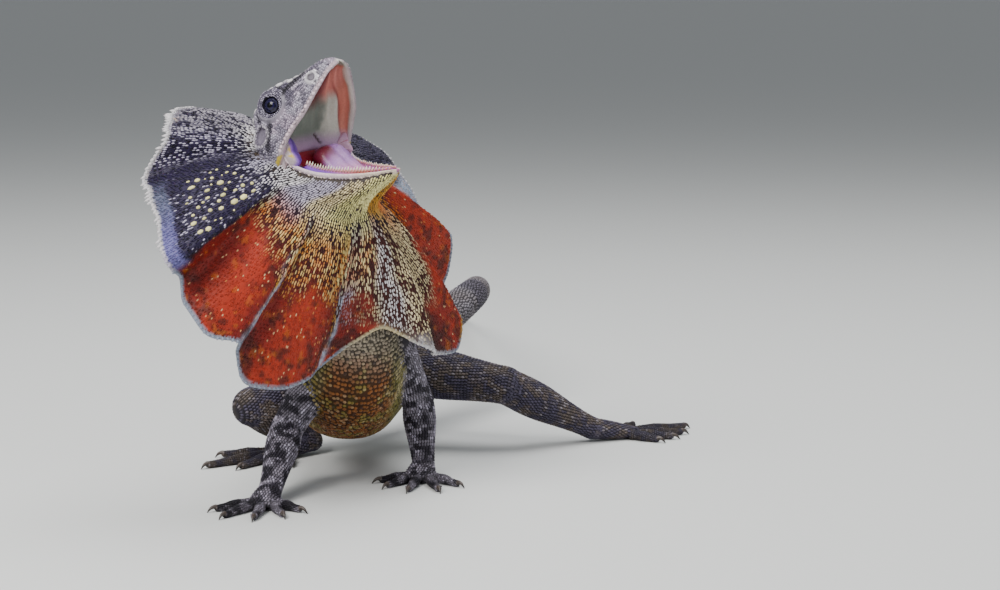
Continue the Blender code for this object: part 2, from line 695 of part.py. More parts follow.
def frill_part(name, first, last):
    """One sector of the frill as a thin shell, its two faces split into triangles alike."""
    count = max(5, 2 * int(round((last - first) / FRILL_COLUMN / 2)) + 1)
    angles = np.linspace(first, last, count)
    step = angles[1] - angles[0]
    wider = frill_surface(np.concatenate(([first - step], angles, [last + step])), FRILL_ROWS)
    normal = np.cross(np.gradient(wider, axis=1), np.gradient(wider, axis=0))[1:-1]
    normal /= np.linalg.norm(normal, axis=2)[..., None]
    middle = wider[1:-1]
    reach = look_up(RIBS, angles)[:, 0]
    middle[:, -1] += (middle[:, -1] - middle[:, -2]) / 0.14 * (rim_teeth(angles) / reach)[:, None]
    for edge, inner in ((0, 1), (-1, -2)):
        inward = middle[inner] - middle[edge]
        inward /= np.linalg.norm(inward, axis=1)[:, None]
        middle[edge] += inward * GAP / 2
    t = np.array(FRILL_ROWS)
    thick = np.interp(t, (0, 0.35, 1), (FRILL_THICK_ROOT, 1.1, FRILL_THICK_RIM))[None, :, None]
    front, rear = middle + normal * thick / 2, middle - normal * thick / 2
    rows = len(t)
    points = np.concatenate((front.reshape(-1, 3), rear.reshape(-1, 3)))
    far = count * rows
    faces = []
    for i in range(count - 1):
        for j in range(rows - 1):
            a, b, c, d = i * rows + j, (i + 1) * rows + j, (i + 1) * rows + j + 1, i * rows + j + 1
            faces += [(a, b, c), (a, c, d), (far + a, far + c, far + b), (far + a, far + d, far + c)]
        for j, flip in ((0, False), (rows - 1, True)):
            a, b = i * rows + j, (i + 1) * rows + j
            quad = (a, far + a, far + b, b)
            quad = quad[::-1] if flip else quad
            faces += [quad[:3], (quad[0], quad[2], quad[3])]
    for i, flip in ((0, True), (count - 1, False)):
        for j in range(rows - 1):
            a, d = i * rows + j, i * rows + j + 1
            quad = (a, far + a, far + d, d)
            quad = quad[::-1] if flip else quad
            faces += [quad[:3], (quad[0], quad[2], quad[3])]
    dark = name.endswith(("crown", "cheek"))
    return object_of(name, points, faces, "frill_dark" if dark else "frill_orange")


def main():
    clear_scene()
    parts = build_trunk()
    parts.update(build_head(parts["neck"]))
    for side, sign in (("right", -1), ("left", 1)):
        arm = build_limb(
            side, ARMS[side], (UPPER_ARM, FOREARM, PALM), ("upper_arm", "forearm", "hand"), FINGERS, sign, FINGER_RADIUS
        )
        leg = build_limb(
            side, LEGS[side], (THIGH, SHIN, INSTEP), ("thigh", "shin", "foot"), TOES, sign, TOE_RADIUS
        )
        parts.update(arm)
        parts.update(leg)
        boolean(parts[f"upper_arm_{side}"], "DIFFERENCE", [swollen(parts["torso"]), swollen(parts["neck"])])
        boolean(parts[f"thigh_{side}"], "DIFFERENCE", [swollen(parts["torso"]), swollen(parts["tail_1"])])
    for name, first, last in FRILL_PARTS:
        sector = frill_part(name, first, last)
        around = ["head", "lower_jaw", "neck", "torso"]
        boolean(sector, "DIFFERENCE", [swollen(parts[n]) for n in around])
        parts[name] = sector
    for part in parts.values():
        part.data.shade_smooth()
        part.data.set_sharp_from_angle(angle=math.radians(40))


main()
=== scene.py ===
"""Looks of a life-size frilled lizard in its threat display.

Lengths in the tables are millimetres in the part's own axes (X across, -Y where the chest faces,
Z up from the ground) and become metres in the frame where a mesh is made. A colour is written as
the hexadecimal screen colour that it shows as. A batch of scales is a tuple: roots, normals, the
way that each scale lies, sizes, colours, places on the unwrapped skin and the name of its shape.
"""

import math

import bpy
import numpy as np
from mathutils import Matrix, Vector
from mathutils.bvhtree import BVHTree
from mathutils.kdtree import KDTree


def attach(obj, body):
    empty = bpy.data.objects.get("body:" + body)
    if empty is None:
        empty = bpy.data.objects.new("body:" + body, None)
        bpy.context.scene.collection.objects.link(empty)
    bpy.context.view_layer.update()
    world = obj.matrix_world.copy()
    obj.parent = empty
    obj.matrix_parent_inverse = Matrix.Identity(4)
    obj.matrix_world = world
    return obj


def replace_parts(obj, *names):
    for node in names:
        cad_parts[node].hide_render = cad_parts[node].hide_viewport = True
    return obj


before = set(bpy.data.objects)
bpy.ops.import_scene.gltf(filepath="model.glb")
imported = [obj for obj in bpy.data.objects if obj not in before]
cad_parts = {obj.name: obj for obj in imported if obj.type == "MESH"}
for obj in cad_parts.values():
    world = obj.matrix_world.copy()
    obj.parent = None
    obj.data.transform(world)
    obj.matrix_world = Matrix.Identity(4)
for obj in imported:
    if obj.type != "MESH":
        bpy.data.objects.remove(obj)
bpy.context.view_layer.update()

MM = 0.001
ORIGIN = np.array((-25.6, 236.7, 0.0))
COAT = 0.35  # how far the skin lies inside the solids, to leave room for the scales
SKULL_COAT, DIGIT_COAT = 0.25, 0.2  # the same on the skull, and on fingers and toes
LOWEST = 0.02  # height of the lowest points of a skin above the ground
GAP_PAINTED_SHADE = 0.22  # how dark the body's skin is painted between its scales: painted shade in the gaps
MAP_PATCH = 0.003  # size of a scale on the unwrapped skin
rng = np.random.default_rng(11)


def unit(vector):
    vector = np.asarray(vector, float)
    return vector / np.linalg.norm(vector, axis=-1, keepdims=True)


# Trunk, tail tip to skull: x, y, z of the centre, half width, half depth
BODY = np.array((
    (-24.0, 520.0, 0.9, 1.2, 1.2),
    (-22.0, 480.0, 8.5, 2.1, 2.1),
    (-19.0, 420.0, 21.5, 3.1, 3.1),
    (-16.0, 360.0, 34.0, 4.2, 4.2),
    (-13.0, 300.0, 45.5, 5.4, 5.4),
    (-11.5, 250.0, 52.5, 6.6, 6.6),
    (-14.0, 214.0, 54.0, 7.6, 7.6),
    (-27.0, 184.0, 47.0, 9.0, 8.8),
    (-43.0, 160.0, 38.0, 10.5, 10.0),
    (-49.0, 142.0, 35.0, 12.5, 12.0),
    (-52.0, 127.0, 35.5, 17.0, 14.5),
    (-59.0, 102.0, 35.0, 22.0, 20.0),
    (-63.0, 76.0, 35.5, 24.5, 23.5),
    (-63.0, 52.0, 40.0, 23.5, 23.5),
    (-60.0, 35.0, 50.0, 21.5, 21.5),
    (-57.5, 27.5, 65.0, 17.0, 16.5),
    (-60.0, 18.5, 86.0, 14.0, 14.5),
    (-66.0, 9.0, 108.0, 16.0, 18.0),
    (-71.6, 1.8, 126.8, 18.5, 20.0),
))
BACK = np.array(
    ((0, 0, 1),) * 14
    + ((0, 0.3, 1.0), (-0.1, 0.8, 0.6), (-0.45, 0.9, 0.2), (-0.7, 0.65, 0.2), (-0.753, 0.533, 0.385)),
    float,
)
NECK_TOP, NECK_BASE = 18.0, 15.0
TAIL_BASE = 9.0
TAIL_REMESHED = 4.4  # rows of BODY beyond this are thick enough to be joined to the trunk's skin

# Skull and lower jaw, whose axes run forwards, to the left and up from the mouth's hinge
MOUTH = np.array((-70.6, 0.0, 138.8))
SKULL_FORWARD = unit((0.270, -0.283, 0.920))
JAW_FORWARD = unit((0.788, -0.575, -0.222))
HEAD_LEFT = unit((0.600, 0.797, 0.069))
JAW_UP = np.cross(JAW_FORWARD, HEAD_LEFT)
SKULL_AXES = np.stack((SKULL_FORWARD, HEAD_LEFT, np.cross(SKULL_FORWARD, HEAD_LEFT)))
JAW_AXES = np.stack((JAW_FORWARD, HEAD_LEFT, JAW_UP))
LIP = 1.8
SKULL = np.array((
    # along the skull, half width, height of the crown, rise of the palate, drop of the upper lip
    (-11.9, 18.5, 18.9, 0.0, 0.0),
    (-6.0, 20.4, 21.6, 0.0, 0.0),
    (0.0, 20.2, 23.4, 0.0, 0.0),
    (6.0, 19.2, 25.0, 3.4, 0.1),
    (12.0, 17.4, 24.8, 5.0, 0.9),
    (16.0, 15.8, 23.2, 5.4, 1.7),
    (20.0, 13.9, 19.8, 5.4, 1.8),
    (25.0, 11.5, 14.6, 5.0, 1.5),
    (29.5, 8.9, 11.4, 4.2, 1.2),
    (33.2, 6.7, 8.6, 3.0, 1.0),
    (35.8, 4.3, 5.8, 1.6, 0.8),
    (37.2, 2.0, 3.2, 0.6, 0.6),
))
LIP_FADE = 6.0  # height above the lip at which its drop has faded away
JAW = np.array((
    # along the lower jaw, half width, dip of the lip, depth of the chin
    (-1.0, 18.8, -0.6, 12.6),
    (2.5, 17.6, 1.8, 12.8),
    (6.0, 16.4, 3.1, 13.0),
    (12.0, 14.8, 3.5, 13.8),
    (18.0, 13.2, 2.8, 13.6),
    (24.0, 11.2, 1.7, 11.2),
    (30.0, 8.6, 0.1, 8.0),
    (35.0, 5.8, -1.5, 4.8),
    (38.5, 3.4, -2.8, 2.0),
    (40.4, 1.4, -3.4, -0.8),
))
TONGUE = np.array((
    # along the lower jaw, half width, half height, height of the centre
    (1.0, 3.0, 2.0, -2.6),
    (4.0, 6.4, 4.0, -1.2),
    (8.0, 7.8, 5.2, -0.8),
    (12.0, 8.2, 4.4, -2.2),
    (18.0, 7.6, 3.0, -3.6),
    (24.0, 6.0, 2.3, -3.2),
    (30.0, 3.8, 1.7, -1.8),
    (33.0, 1.4, 0.9, -0.9),
))
JAW_FLOOR = 4.2
SQUARENESS = 2.6
SLIT = ((4.6, 0.6), (1.8, 3.0))  # ends of the slit in the palate, forwards and sideways
EYE = np.array((12.8, 12.4, 14.8))
EYE_WAY = unit((0.32, 0.93, -0.08))  # the way that the left eye looks, in the skull's axes
EYE_CORNER = (0.81, 0, -0.59)  # the way from the eye to its front corner
EYE_RADIUS = 4.3
LID_RADIUS, LID_INNER, LID_OUTER = 5.0, 3.5, 7.0
LID_HEIGHT = 1.7
NOSTRIL = np.array((29.6, 8.2, 5.2))
EAR = np.array((1.8, 18.4, 12.6))
EAR_RADIUS = 3.4
BROW_HEIGHT = 1.4

# Frill ribs: angle round the throat from the right side (90 is under the chin), length, degrees
# swept back, and how far the rim is folded forwards there
RIBS = np.array((
    (-86.0, 31.5, 31.0, 0.0),
    (-63.0, 36.0, 30.0, 5.0),
    (-44.0, 36.0, 29.0, 7.0),
    (-29.0, 36.5, 28.0, 5.5),
    (-21.0, 38.0, 31.0, -3.5),
    (-13.0, 40.5, 33.0, -5.5),
    (-2.0, 45.0, 32.0, -1.5),
    (7.0, 51.0, 30.0, 1.5),
    (14.0, 58.5, 30.0, 5.0),
    (20.0, 63.5, 30.0, 6.5),
    (25.0, 55.0, 33.0, -4.0),
    (31.0, 60.0, 35.0, -5.0),
    (40.0, 67.5, 35.0, 0.0),
    (48.0, 67.0, 37.0, 4.5),
    (52.0, 66.0, 38.0, -3.5),
    (58.0, 75.0, 38.0, -3.0),
    (66.0, 77.0, 39.0, 2.0),
    (75.0, 73.0, 40.0, 3.5),
    (84.0, 66.0, 41.0, -2.5),
    (93.0, 59.0, 39.0, 1.5),
    (101.0, 51.5, 27.0, -2.0),
    (107.0, 61.5, 24.0, 2.5),
    (111.0, 71.0, 21.0, 6.0),
    (116.0, 74.0, 18.0, -4.5),
    (123.0, 82.0, 17.0, -1.0),
    (129.0, 77.0, 18.5, 4.0),
    (134.0, 72.0, 21.0, -3.5),
    (141.0, 66.5, 16.0, 0.0),
    (147.0, 57.5, 12.0, 3.5),
    (152.0, 50.5, 11.0, -2.5),
    (158.0, 45.0, 12.0, -1.0),
    (171.0, 37.5, 13.0, 1.5),
    (190.0, 34.5, 18.0, -1.0),
    (206.0, 36.0, 34.0, 1.0),
    (224.0, 37.0, 50.0, 1.0),
    (243.0, 38.0, 56.0, 3.0),
    (266.0, 33.0, 56.0, 0.0),
))
FRILL_FIRST, FRILL_LAST = RIBS[0, 0], RIBS[-1, 0]
FRILL_BULGE = 4.0
HUB_RADIUS = 19.5  # half width of the ring that the ribs start from
JOIN = 0.12  # fraction of a rib where the throat's skin runs into the membrane
FRILL_THICKNESS = ((0, 0.35, 1), (1.5, 0.9, 0.6))  # at fractions of a rib
FRONT_LIFT = ((-0.2, 0, 0.35, 1), (0.1, 0.4, 0.3, 0.25))  # from the middle surface, the same way
CORDS = (20.0, 50.0, 84.0, 97.0, 106.0, 112.0, 129.0, 147.0)  # angles of the ribs that stand out

ARMS = {
    "right": ((-70.0, 32.0, 52.0), (-86.0, 30.5, 24.0), (-90.0, -1.0, 5.2), (-92.0, -13.0, 2.2)),
    "left": ((-45.0, 37.0, 58.0), (-34.0, 56.0, 31.0), (-31.5, 49.0, 5.4), (-33.0, 37.0, 2.2)),
}
LEGS = {
    "right": ((-62.0, 119.0, 36.0), (-106.0, 86.0, 23.0), (-82.0, 99.0, 6.0), (-97.0, 84.0, 2.4)),
    "left": ((-46.0, 120.0, 35.0), (2.0, 111.0, 28.0), (41.0, 126.0, 6.0), (60.0, 136.0, 2.4)),
}
# Girths of a length of limb: fraction of it, half width, half depth
UPPER_ARM = ((0.0, 10.0, 10.0), (0.5, 8.4, 8.4), (0.85, 7.0, 7.0), (1.0, 6.8, 6.8))
FOREARM = ((0.0, 6.6, 6.6), (0.3, 7.0, 7.0), (0.75, 5.4, 5.4), (1.0, 4.8, 4.8))
PALM = ((0.0, 4.6, 4.4), (0.5, 6.2, 3.8), (1.0, 6.6, 2.4))
THIGH = ((0.0, 12.5, 12.5), (0.45, 11.2, 11.2), (0.85, 9.0, 9.0), (1.0, 8.6, 8.6))
SHIN = ((0.0, 8.2, 8.2), (0.35, 8.4, 8.4), (0.8, 5.8, 5.8), (1.0, 5.2, 5.2))
INSTEP = ((0.0, 5.0, 4.8), (0.5, 5.4, 4.0), (1.0, 6.4, 2.6))
# Fingers and toes: degrees from the way that the foot points, length
FINGERS = ((-62.0, 8.0), (-30.0, 13.0), (-4.0, 17.0), (22.0, 17.0), (52.0, 11.0))
TOES = ((-58.0, 9.0), (-32.0, 15.0), (-12.0, 22.0), (6.0, 30.0), (44.0, 17.0))
FINGER_RADIUS, TOE_RADIUS = 2.0, 2.2
CLAW_LENGTH = 4.2
SOLE_DEPTH = 0.35


# Numbers and noise


def ease(low, high, value):
    """0 below low and 1 above high, along a smooth S between them."""
    t = np.clip((np.asarray(value, float) - low) / (high - low), 0, 1)
    return t * t * (3 - 2 * t)


def hill(value, centre, width):
    """1 at the centre, falling to 0 as a bell."""
    return np.exp(-(((np.asarray(value, float) - centre) / width) ** 2))


def curve(start, leave, end, arrive, t):
    """From start to end as t goes from 0 to 1, with the slopes leave and arrive at its ends."""
    return (
        start * (2 * t**3 - 3 * t**2 + 1)
        + leave * (t**3 - 2 * t**2 + t)
        + end * (3 * t**2 - 2 * t**3)
        + arrive * (t**3 - t**2)
    )


def smooth(table, at):
    """A table's rows read at fractional row numbers, along a curve that passes through every row."""
    table, at = np.asarray(table, float), np.asarray(at, float)
    flat = np.clip(at.ravel(), 0, len(table) - 1)
    row = np.minimum(flat.astype(int), len(table) - 2)
    before, beyond = table[np.maximum(row - 1, 0)], table[np.minimum(row + 2, len(table) - 1)]
    here, after = table[row], table[row + 1]
    read = curve(here, (after - before) / 2, after, (beyond - here) / 2, (flat - row)[:, None])
    return read.reshape(at.shape + table.shape[1:])


def look_up(table, at):
    """The table's other columns where its first column has the values at, along the same curve."""
    table = np.asarray(table, float)
    return smooth(table[:, 1:], np.interp(at, table[:, 0], np.arange(len(table))))


def columns_at(table, at):
    """The same as look_up, one array for each column."""
    return np.moveaxis(look_up(table, at), -1, 0)


def speckle(points, size, seed=0):
    """Soft noise from 0 to 1: a random value at each corner of cubes of that size, eased between."""
    spot = np.asarray(points, float) / size + 512.0
    cell = np.floor(spot).astype(np.int64)
    part = spot - cell
    part = part * part * (3 - 2 * part)
    total = np.zeros(spot.shape[:-1])
    for corner in np.ndindex(2, 2, 2):
        x, y, z = np.moveaxis(cell + np.array(corner), -1, 0)
        mixed = x * 73856093 ^ y * 19349663 ^ z * 83492791 ^ (seed + 1) * 2654435
        mixed = (mixed ^ (mixed >> 13)) * 1274126177 & 0xFFFFFFFF
        value = ((mixed ^ (mixed >> 16)) & 0xFFFF) / 65535
        total += np.prod(np.where(corner, part, 1 - part), axis=-1) * value
    return total


def blots(points, size, seed=0):
    """Noise of two sizes added, for markings with ragged edges."""
    return 0.65 * speckle(points, size, seed) + 0.35 * speckle(points, size * 0.4, seed + 7)


def tone(code):
    """A screen colour written as six hexadecimal digits, as linear red, green and blue."""
    value = np.array([int(code[i : i + 2], 16) for i in (0, 2, 4)]) / 255
    return np.where(value <= 0.04045, value / 12.92, ((value + 0.055) / 1.055) ** 2.4)


def mix(first, second, share):
    """Points or colours between first and second, by a share from 0 to 1 at each place."""
    first, second = (tone(value) if isinstance(value, str) else value for value in (first, second))
    share = np.asarray(share, float)[..., None]
    return first * (1 - share) + second * share


def layered(colour, *coats):
    """A colour with others laid over it in turn, each as a colour and its share at each place."""
    for over, share in coats:
        colour = mix(colour, over, share)
    return colour


def path_length(points):
    """Distance along a path from its first point to each."""
    return np.concatenate(([0], np.cumsum(np.linalg.norm(np.diff(points, axis=0), axis=1))))


def near_line(a, b, start, end):
    """Distance of points (a, b) from the straight line between start and end."""
    start, end = np.array(start, float), np.array(end, float)
    way = end - start
    share = np.clip(((a - start[0]) * way[0] + (b - start[1]) * way[1]) / (way @ way), 0, 1)
    return np.hypot(a - start[0] - share * way[0], b - start[1] - share * way[1])


def facing_to(normals, way):
    """Normals turned over where they point away from a given way."""
    return normals * np.sign(np.sum(normals * way, -1, keepdims=True))


# Meshes


def turns_round(count):
    return np.linspace(0, 2 * math.pi, count, endpoint=False)


def crossed(rows, columns):
    """Two lists of values spread over a grid, the first down its rows and the second along them."""
    return np.meshgrid(rows, columns, indexing="ij")


def round_at(centre, side, up, half, deep, turn):
    """Points of ellipses round centres: half wide to the side, deep upwards, at turns from the side."""
    return centre + side * (half * np.cos(turn))[..., None] + up * (deep * np.sin(turn))[..., None]


def grid_quads(rows, columns, closed=False):
    """Corners of each cell of a grid of points counted row by row, closed from last column to first."""
    i, j = crossed(np.arange(rows - 1), np.arange(columns - (not closed)))
    k = (j + 1) % columns
    corners = i * columns + j, i * columns + k, (i + 1) * columns + k, (i + 1) * columns + j
    return np.stack(corners, -1).reshape(-1, 4)


def make_piece(name, points, faces, finish, slot=None, tint=None):
    """An object from points in millimetres and arrays of faces, some of three corners, some of four."""
    points = np.asarray(points, float).reshape(-1, 3)
    mesh = bpy.data.meshes.new(name)
    corners = np.concatenate([f.ravel() for f in faces])
    sizes = np.concatenate([np.full(len(f), f.shape[1]) for f in faces])
    mesh.vertices.add(len(points))
    mesh.vertices.foreach_set("co", ((points - ORIGIN) * MM).astype(np.float32).ravel())
    mesh.loops.add(len(corners))
    mesh.loops.foreach_set("vertex_index", corners.astype(np.int32))
    mesh.polygons.add(len(sizes))
    mesh.polygons.foreach_set("loop_start", (np.cumsum(sizes) - sizes).astype(np.int32))
    mesh.update(calc_edges=True)
    mesh.validate()
    mesh.shade_smooth()
    if tint is not None:
        colours = np.ones((len(points), 4), np.float32)
        colours[:, :3] = np.clip(tint, 0, 1)
        mesh.color_attributes.new("tint", "FLOAT_COLOR", "POINT").data.foreach_set("color", colours.ravel())
    mesh.materials.append(finish)
    piece = bpy.data.objects.new(name, mesh)
    bpy.context.scene.collection.objects.link(piece)
    if slot:
        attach(piece, "root")
    return piece


def capped(rings):
    """A closed surface from rings of points: the cells between them, and a fan to each end's middle."""
    count, around = rings.shape[:2]
    points = np.concatenate((rings.reshape(-1, 3), rings[0].mean(0)[None], rings[-1].mean(0)[None]))
    first, j = count * around, np.arange(around)
    k = (j + 1) % around
    start = np.stack((k, j, np.full(around, first)), 1)
    end = np.stack(((count - 1) * around + j, (count - 1) * around + k, np.full(around, first + 1)), 1)
    return points, [grid_quads(count, around, True), np.concatenate((start, end))]


def capped_tint(tint):
    """The colours of rings of points, with one more at each end for the middles of the fans."""
    flat = tint.reshape(-1, 3)
    return np.concatenate((flat, flat[:1], flat[-1:]))


def joined(parts):
    """Several (points, faces) as one: all the points, and the faces counted on."""
    points, fours, threes, start = [], [], [], 0
    for spots, faces in parts:
        for f in faces:
            (fours if f.shape[1] == 4 else threes).append(f + start)
        points.append(spots)
        start += len(spots)
    return np.concatenate(points), [np.concatenate(f) for f in (fours, threes) if f]


def normals_of(grid):
    """Unit normals of a grid of points, from the steps along its rows and its columns."""
    return unit(np.cross(np.gradient(grid, axis=0), np.gradient(grid, axis=1)) + 1e-12)


# Finishes


def node(tree, kind, **values):
    """A new node, with values for its sockets or else its settings."""
    made = tree.nodes.new(kind)
    for name, value in values.items():
        if name in made.inputs:
            made.inputs[name].default_value = value
        else:
            setattr(made, name, value)
    return made


def stretched(tree, noise, low, high):
    """Noise, which lies mostly between 0.3 and 0.7, made to run from low to high."""
    ends = {"From Min": 0.3, "From Max": 0.7, "To Min": low, "To Max": high}
    made = node(tree, "ShaderNodeMapRange", **ends)
    tree.links.new(noise, made.inputs["Value"])
    return made.outputs["Result"]


def finish(name, rough, bump, grain, fleck=0.35, coat=0.0, through=0.0, shine=0.5):
    """A finish that takes its colour from the piece's tint, broken up by fine noise in its own axes.

    grain is the size in metres of the noise and bump how deep it is, fleck how much it darkens the
    colour, coat a wet layer, through how much light a thin sheet lets through, and shine its gloss."""
    made = bpy.data.materials.new(name)
    made.use_nodes = True
    tree = made.node_tree
    wire = tree.links.new
    shader = tree.nodes["Principled BSDF"]
    tint = node(tree, "ShaderNodeAttribute", attribute_name="tint")
    place = node(tree, "ShaderNodeTexCoord")
    coarse = node(tree, "ShaderNodeTexNoise", Scale=1 / (grain * 6), Detail=5.0, Roughness=0.6)
    fine = node(tree, "ShaderNodeTexNoise", Scale=1 / grain, Detail=3.0, Roughness=0.5)
    for texture in (coarse, fine):
        wire(place.outputs["Object"], texture.inputs["Vector"])
    both = node(tree, "ShaderNodeMix", data_type="FLOAT", Factor=0.5)
    wire(coarse.outputs["Fac"], both.inputs[2])
    wire(fine.outputs["Fac"], both.inputs[3])
    broken = node(tree, "ShaderNodeVectorMath", operation="SCALE")
    wire(tint.outputs["Color"], broken.inputs[0])
    wire(stretched(tree, both.outputs[0], 1 - fleck, 1 + fleck * 0.5), broken.inputs["Scale"])
    wire(broken.outputs["Vector"], shader.inputs["Base Color"])
    wire(stretched(tree, coarse.outputs["Fac"], rough - 0.1, rough + 0.1), shader.inputs["Roughness"])
    dent = node(tree, "ShaderNodeBump", Strength=bump, Distance=grain * 0.5)
    wire(fine.outputs["Fac"], dent.inputs["Height"])
    wire(dent.outputs["Normal"], shader.inputs["Normal"])
    values = {"Specular IOR Level": shine, "Coat Weight": coat, "Coat Roughness": 0.08}
    if through:
        values["Subsurface Weight"] = through
        values["Subsurface Radius"] = (0.004, 0.0015, 0.0008)
        values["Subsurface Scale"] = 1.0
    for socket, value in values.items():
        shader.inputs[socket].default_value = value
    return made


SKIN = finish("skin_between_scales", 0.7, 0.5, 0.0004, shine=0.25)
SCALE = finish("horny_scales", 0.5, 0.35, 0.00025, fleck=0.22, shine=0.3)
MEMBRANE = finish("frill_membrane", 0.55, 0.5, 0.0004, fleck=0.3, through=0.1, shine=0.3)
LINING = finish("wet_mouth_lining", 0.5, 0.4, 0.0007, fleck=0.2, coat=0.12, through=0.04, shine=0.3)
ENAMEL = finish("tooth_enamel", 0.3, 0.1, 0.0004, fleck=0.1, through=0.3)
EYEBALL = finish("eyeball", 0.16, 0.0, 0.0003, fleck=0.12, coat=0.1, shine=0.3)
HORN = finish("claw_horn", 0.35, 0.3, 0.0003, fleck=0.3)

# Colours of the animal
WHITE, LAVENDER, GREY, SLATE = map(tone, ("DEDADD", "B9B2C6", "8B8690", "504A5E"))
PURPLE, NIGHT, STEEL, ICE = map(tone, ("2C1B50", "120E1A", "5A5F7A", "9AA3B6"))
STRAW, CREAM, OCHRE, OLIVE = map(tone, ("E8DF9A", "DCCBA0", "BF8A2E", "6E6430"))
AMBER, FLAME, BLOOD, MAROON, EARTH = map(tone, ("D06E12", "9C280E", "741208", "340C08", "5E534E"))


# Where the animal's surfaces are


def placed(axes, x, y, z):
    """Points at distances forwards, to the left and up along the skull's or the lower jaw's axes."""
    x, y, z = (np.asarray(value, float)[..., None] for value in (x, y, z))
    return MOUTH + x * axes[0] + y * axes[1] + z * axes[2]


def measured(axes, points):
    """The distances forwards, to the left and up of points, in the skull's or the lower jaw's axes."""
    return np.moveaxis((points - MOUTH) @ axes.T, -1, 0)


def distance(x, y, z, spot, out=0.0):
    """How far places of the skull are from a spot on each of its sides, moved outwards."""
    return np.sqrt((x - spot[0]) ** 2 + (np.abs(y) - spot[1] - out) ** 2 + (z - spot[2]) ** 2)


def off_gaze(away):
    """How far steps from the eye's middle lead away from the line that it looks along."""
    return np.linalg.norm(away - (away @ EYE_WAY)[..., None] * EYE_WAY, axis=-1)


def trunk_frames():
    """Centres, sides and backs along the trunk, at 361 even steps of BODY's rows."""
    fine = np.linspace(0, NECK_TOP, 361)
    centres = smooth(BODY[:, :3], fine)
    share = np.clip((fine - NECK_BASE - 0.6) / 1.8, 0, 1)
    tangents = unit(mix(unit(np.gradient(centres, axis=0)), SKULL_FORWARD, share))
    sides = unit(np.cross(tangents, smooth(BACK, fine)))
    return fine, centres, sides, np.cross(sides, tangents)


TRUNK_ROWS, TRUNK_CENTRES, TRUNK_SIDES, TRUNK_BACKS = trunk_frames()


def trunk_read(values, row):
    return np.stack([np.interp(row, TRUNK_ROWS, column) for column in values.T], -1)


def trunk_point(row, turn):
    """A point of the trunk's skin: an ellipse round the spine at that row, turned from the left side
    towards the back, with a slight ripple over hip and shoulder."""
    ripple = 1 + 0.012 * np.sin(turn * 5 + row * 3) * ease(9, 12, row)
    half, deep = np.moveaxis(smooth(BODY[:, 3:], row), -1, 0) * ripple - COAT
    centre, side, back = (trunk_read(values, row) for values in (TRUNK_CENTRES, TRUNK_SIDES, TRUNK_BACKS))
    return round_at(centre, side, back, half, deep, turn)


def skull_swell(x, y, z, crown):
    """How far lids, brows, nostrils, temples and the lip's edge stand out of the skull's arch."""
    ring = lambda spot, out, radius, width: hill(distance(x, y, z, spot, out), radius, width)
    swell = LID_HEIGHT * ring(EYE, 1.6, LID_RADIUS, 1.5)
    away = np.stack((x, np.abs(y), z), -1) - EYE
    swell -= 4.0 * ease(5.6, 3.8, off_gaze(away)) * ease(6, 9, np.abs(y))
    swell += 0.8 * ring(NOSTRIL, 0.6, 2.1, 0.7) - 0.7 * ring(NOSTRIL, 0.6, 0.0, 1.3)
    swell += 0.8 * ring(EAR, 0.0, 4.1, 0.8) - 1.2 * ring(EAR, 0.0, 0.0, 2.8)
    brow = BROW_HEIGHT * hill(z, 0.86 * crown, 2.6) * np.exp(-(((x - 14) / 9.5) ** 4))
    swell += (brow + 1.3 * hill(x, 5, 3) * hill(z, 21, 2.5)) * ease(2, 5, np.abs(y))
    swell += 1.0 * hill(x, -2, 7.5) * hill(z, 10, 7.0)
    return swell + 0.35 * hill(z, 1.0, 0.7) * ease(0, 4, x) - 0.5 * hill(z, 2.1, 0.5) * ease(2, 5, x)


def skull_point_at(x, turn, out=-SKULL_COAT):
    """A point of the skull's outside: a squared arch over the mouth line, from the left lip (turn 0)
    to the right (pi)."""
    half, crown, _, drop = columns_at(SKULL, x)
    y = half * np.sign(np.cos(turn)) * np.abs(np.cos(turn)) ** (2 / SQUARENESS)
    z = crown * np.clip(np.sin(turn), 0, 1) ** (2 / SQUARENESS)
    swell = skull_swell(x, y, z, crown) + out
    away = np.sqrt(y**2 + (z * 0.8) ** 2) + 1e-6
    z = z * (1 + 0.64 * swell / away)
    return placed(SKULL_AXES, x, y * (1 + swell / away), z - drop * np.clip(1 - z / LIP_FADE, 0, 1))


FACING = unit(SKULL_FORWARD + JAW_FORWARD)
DOWN = -np.cross(FACING, HEAD_LEFT)


def reach_at(angle):
    """The length of the frill's ribs at each angle."""
    return look_up(RIBS, angle)[..., 0]


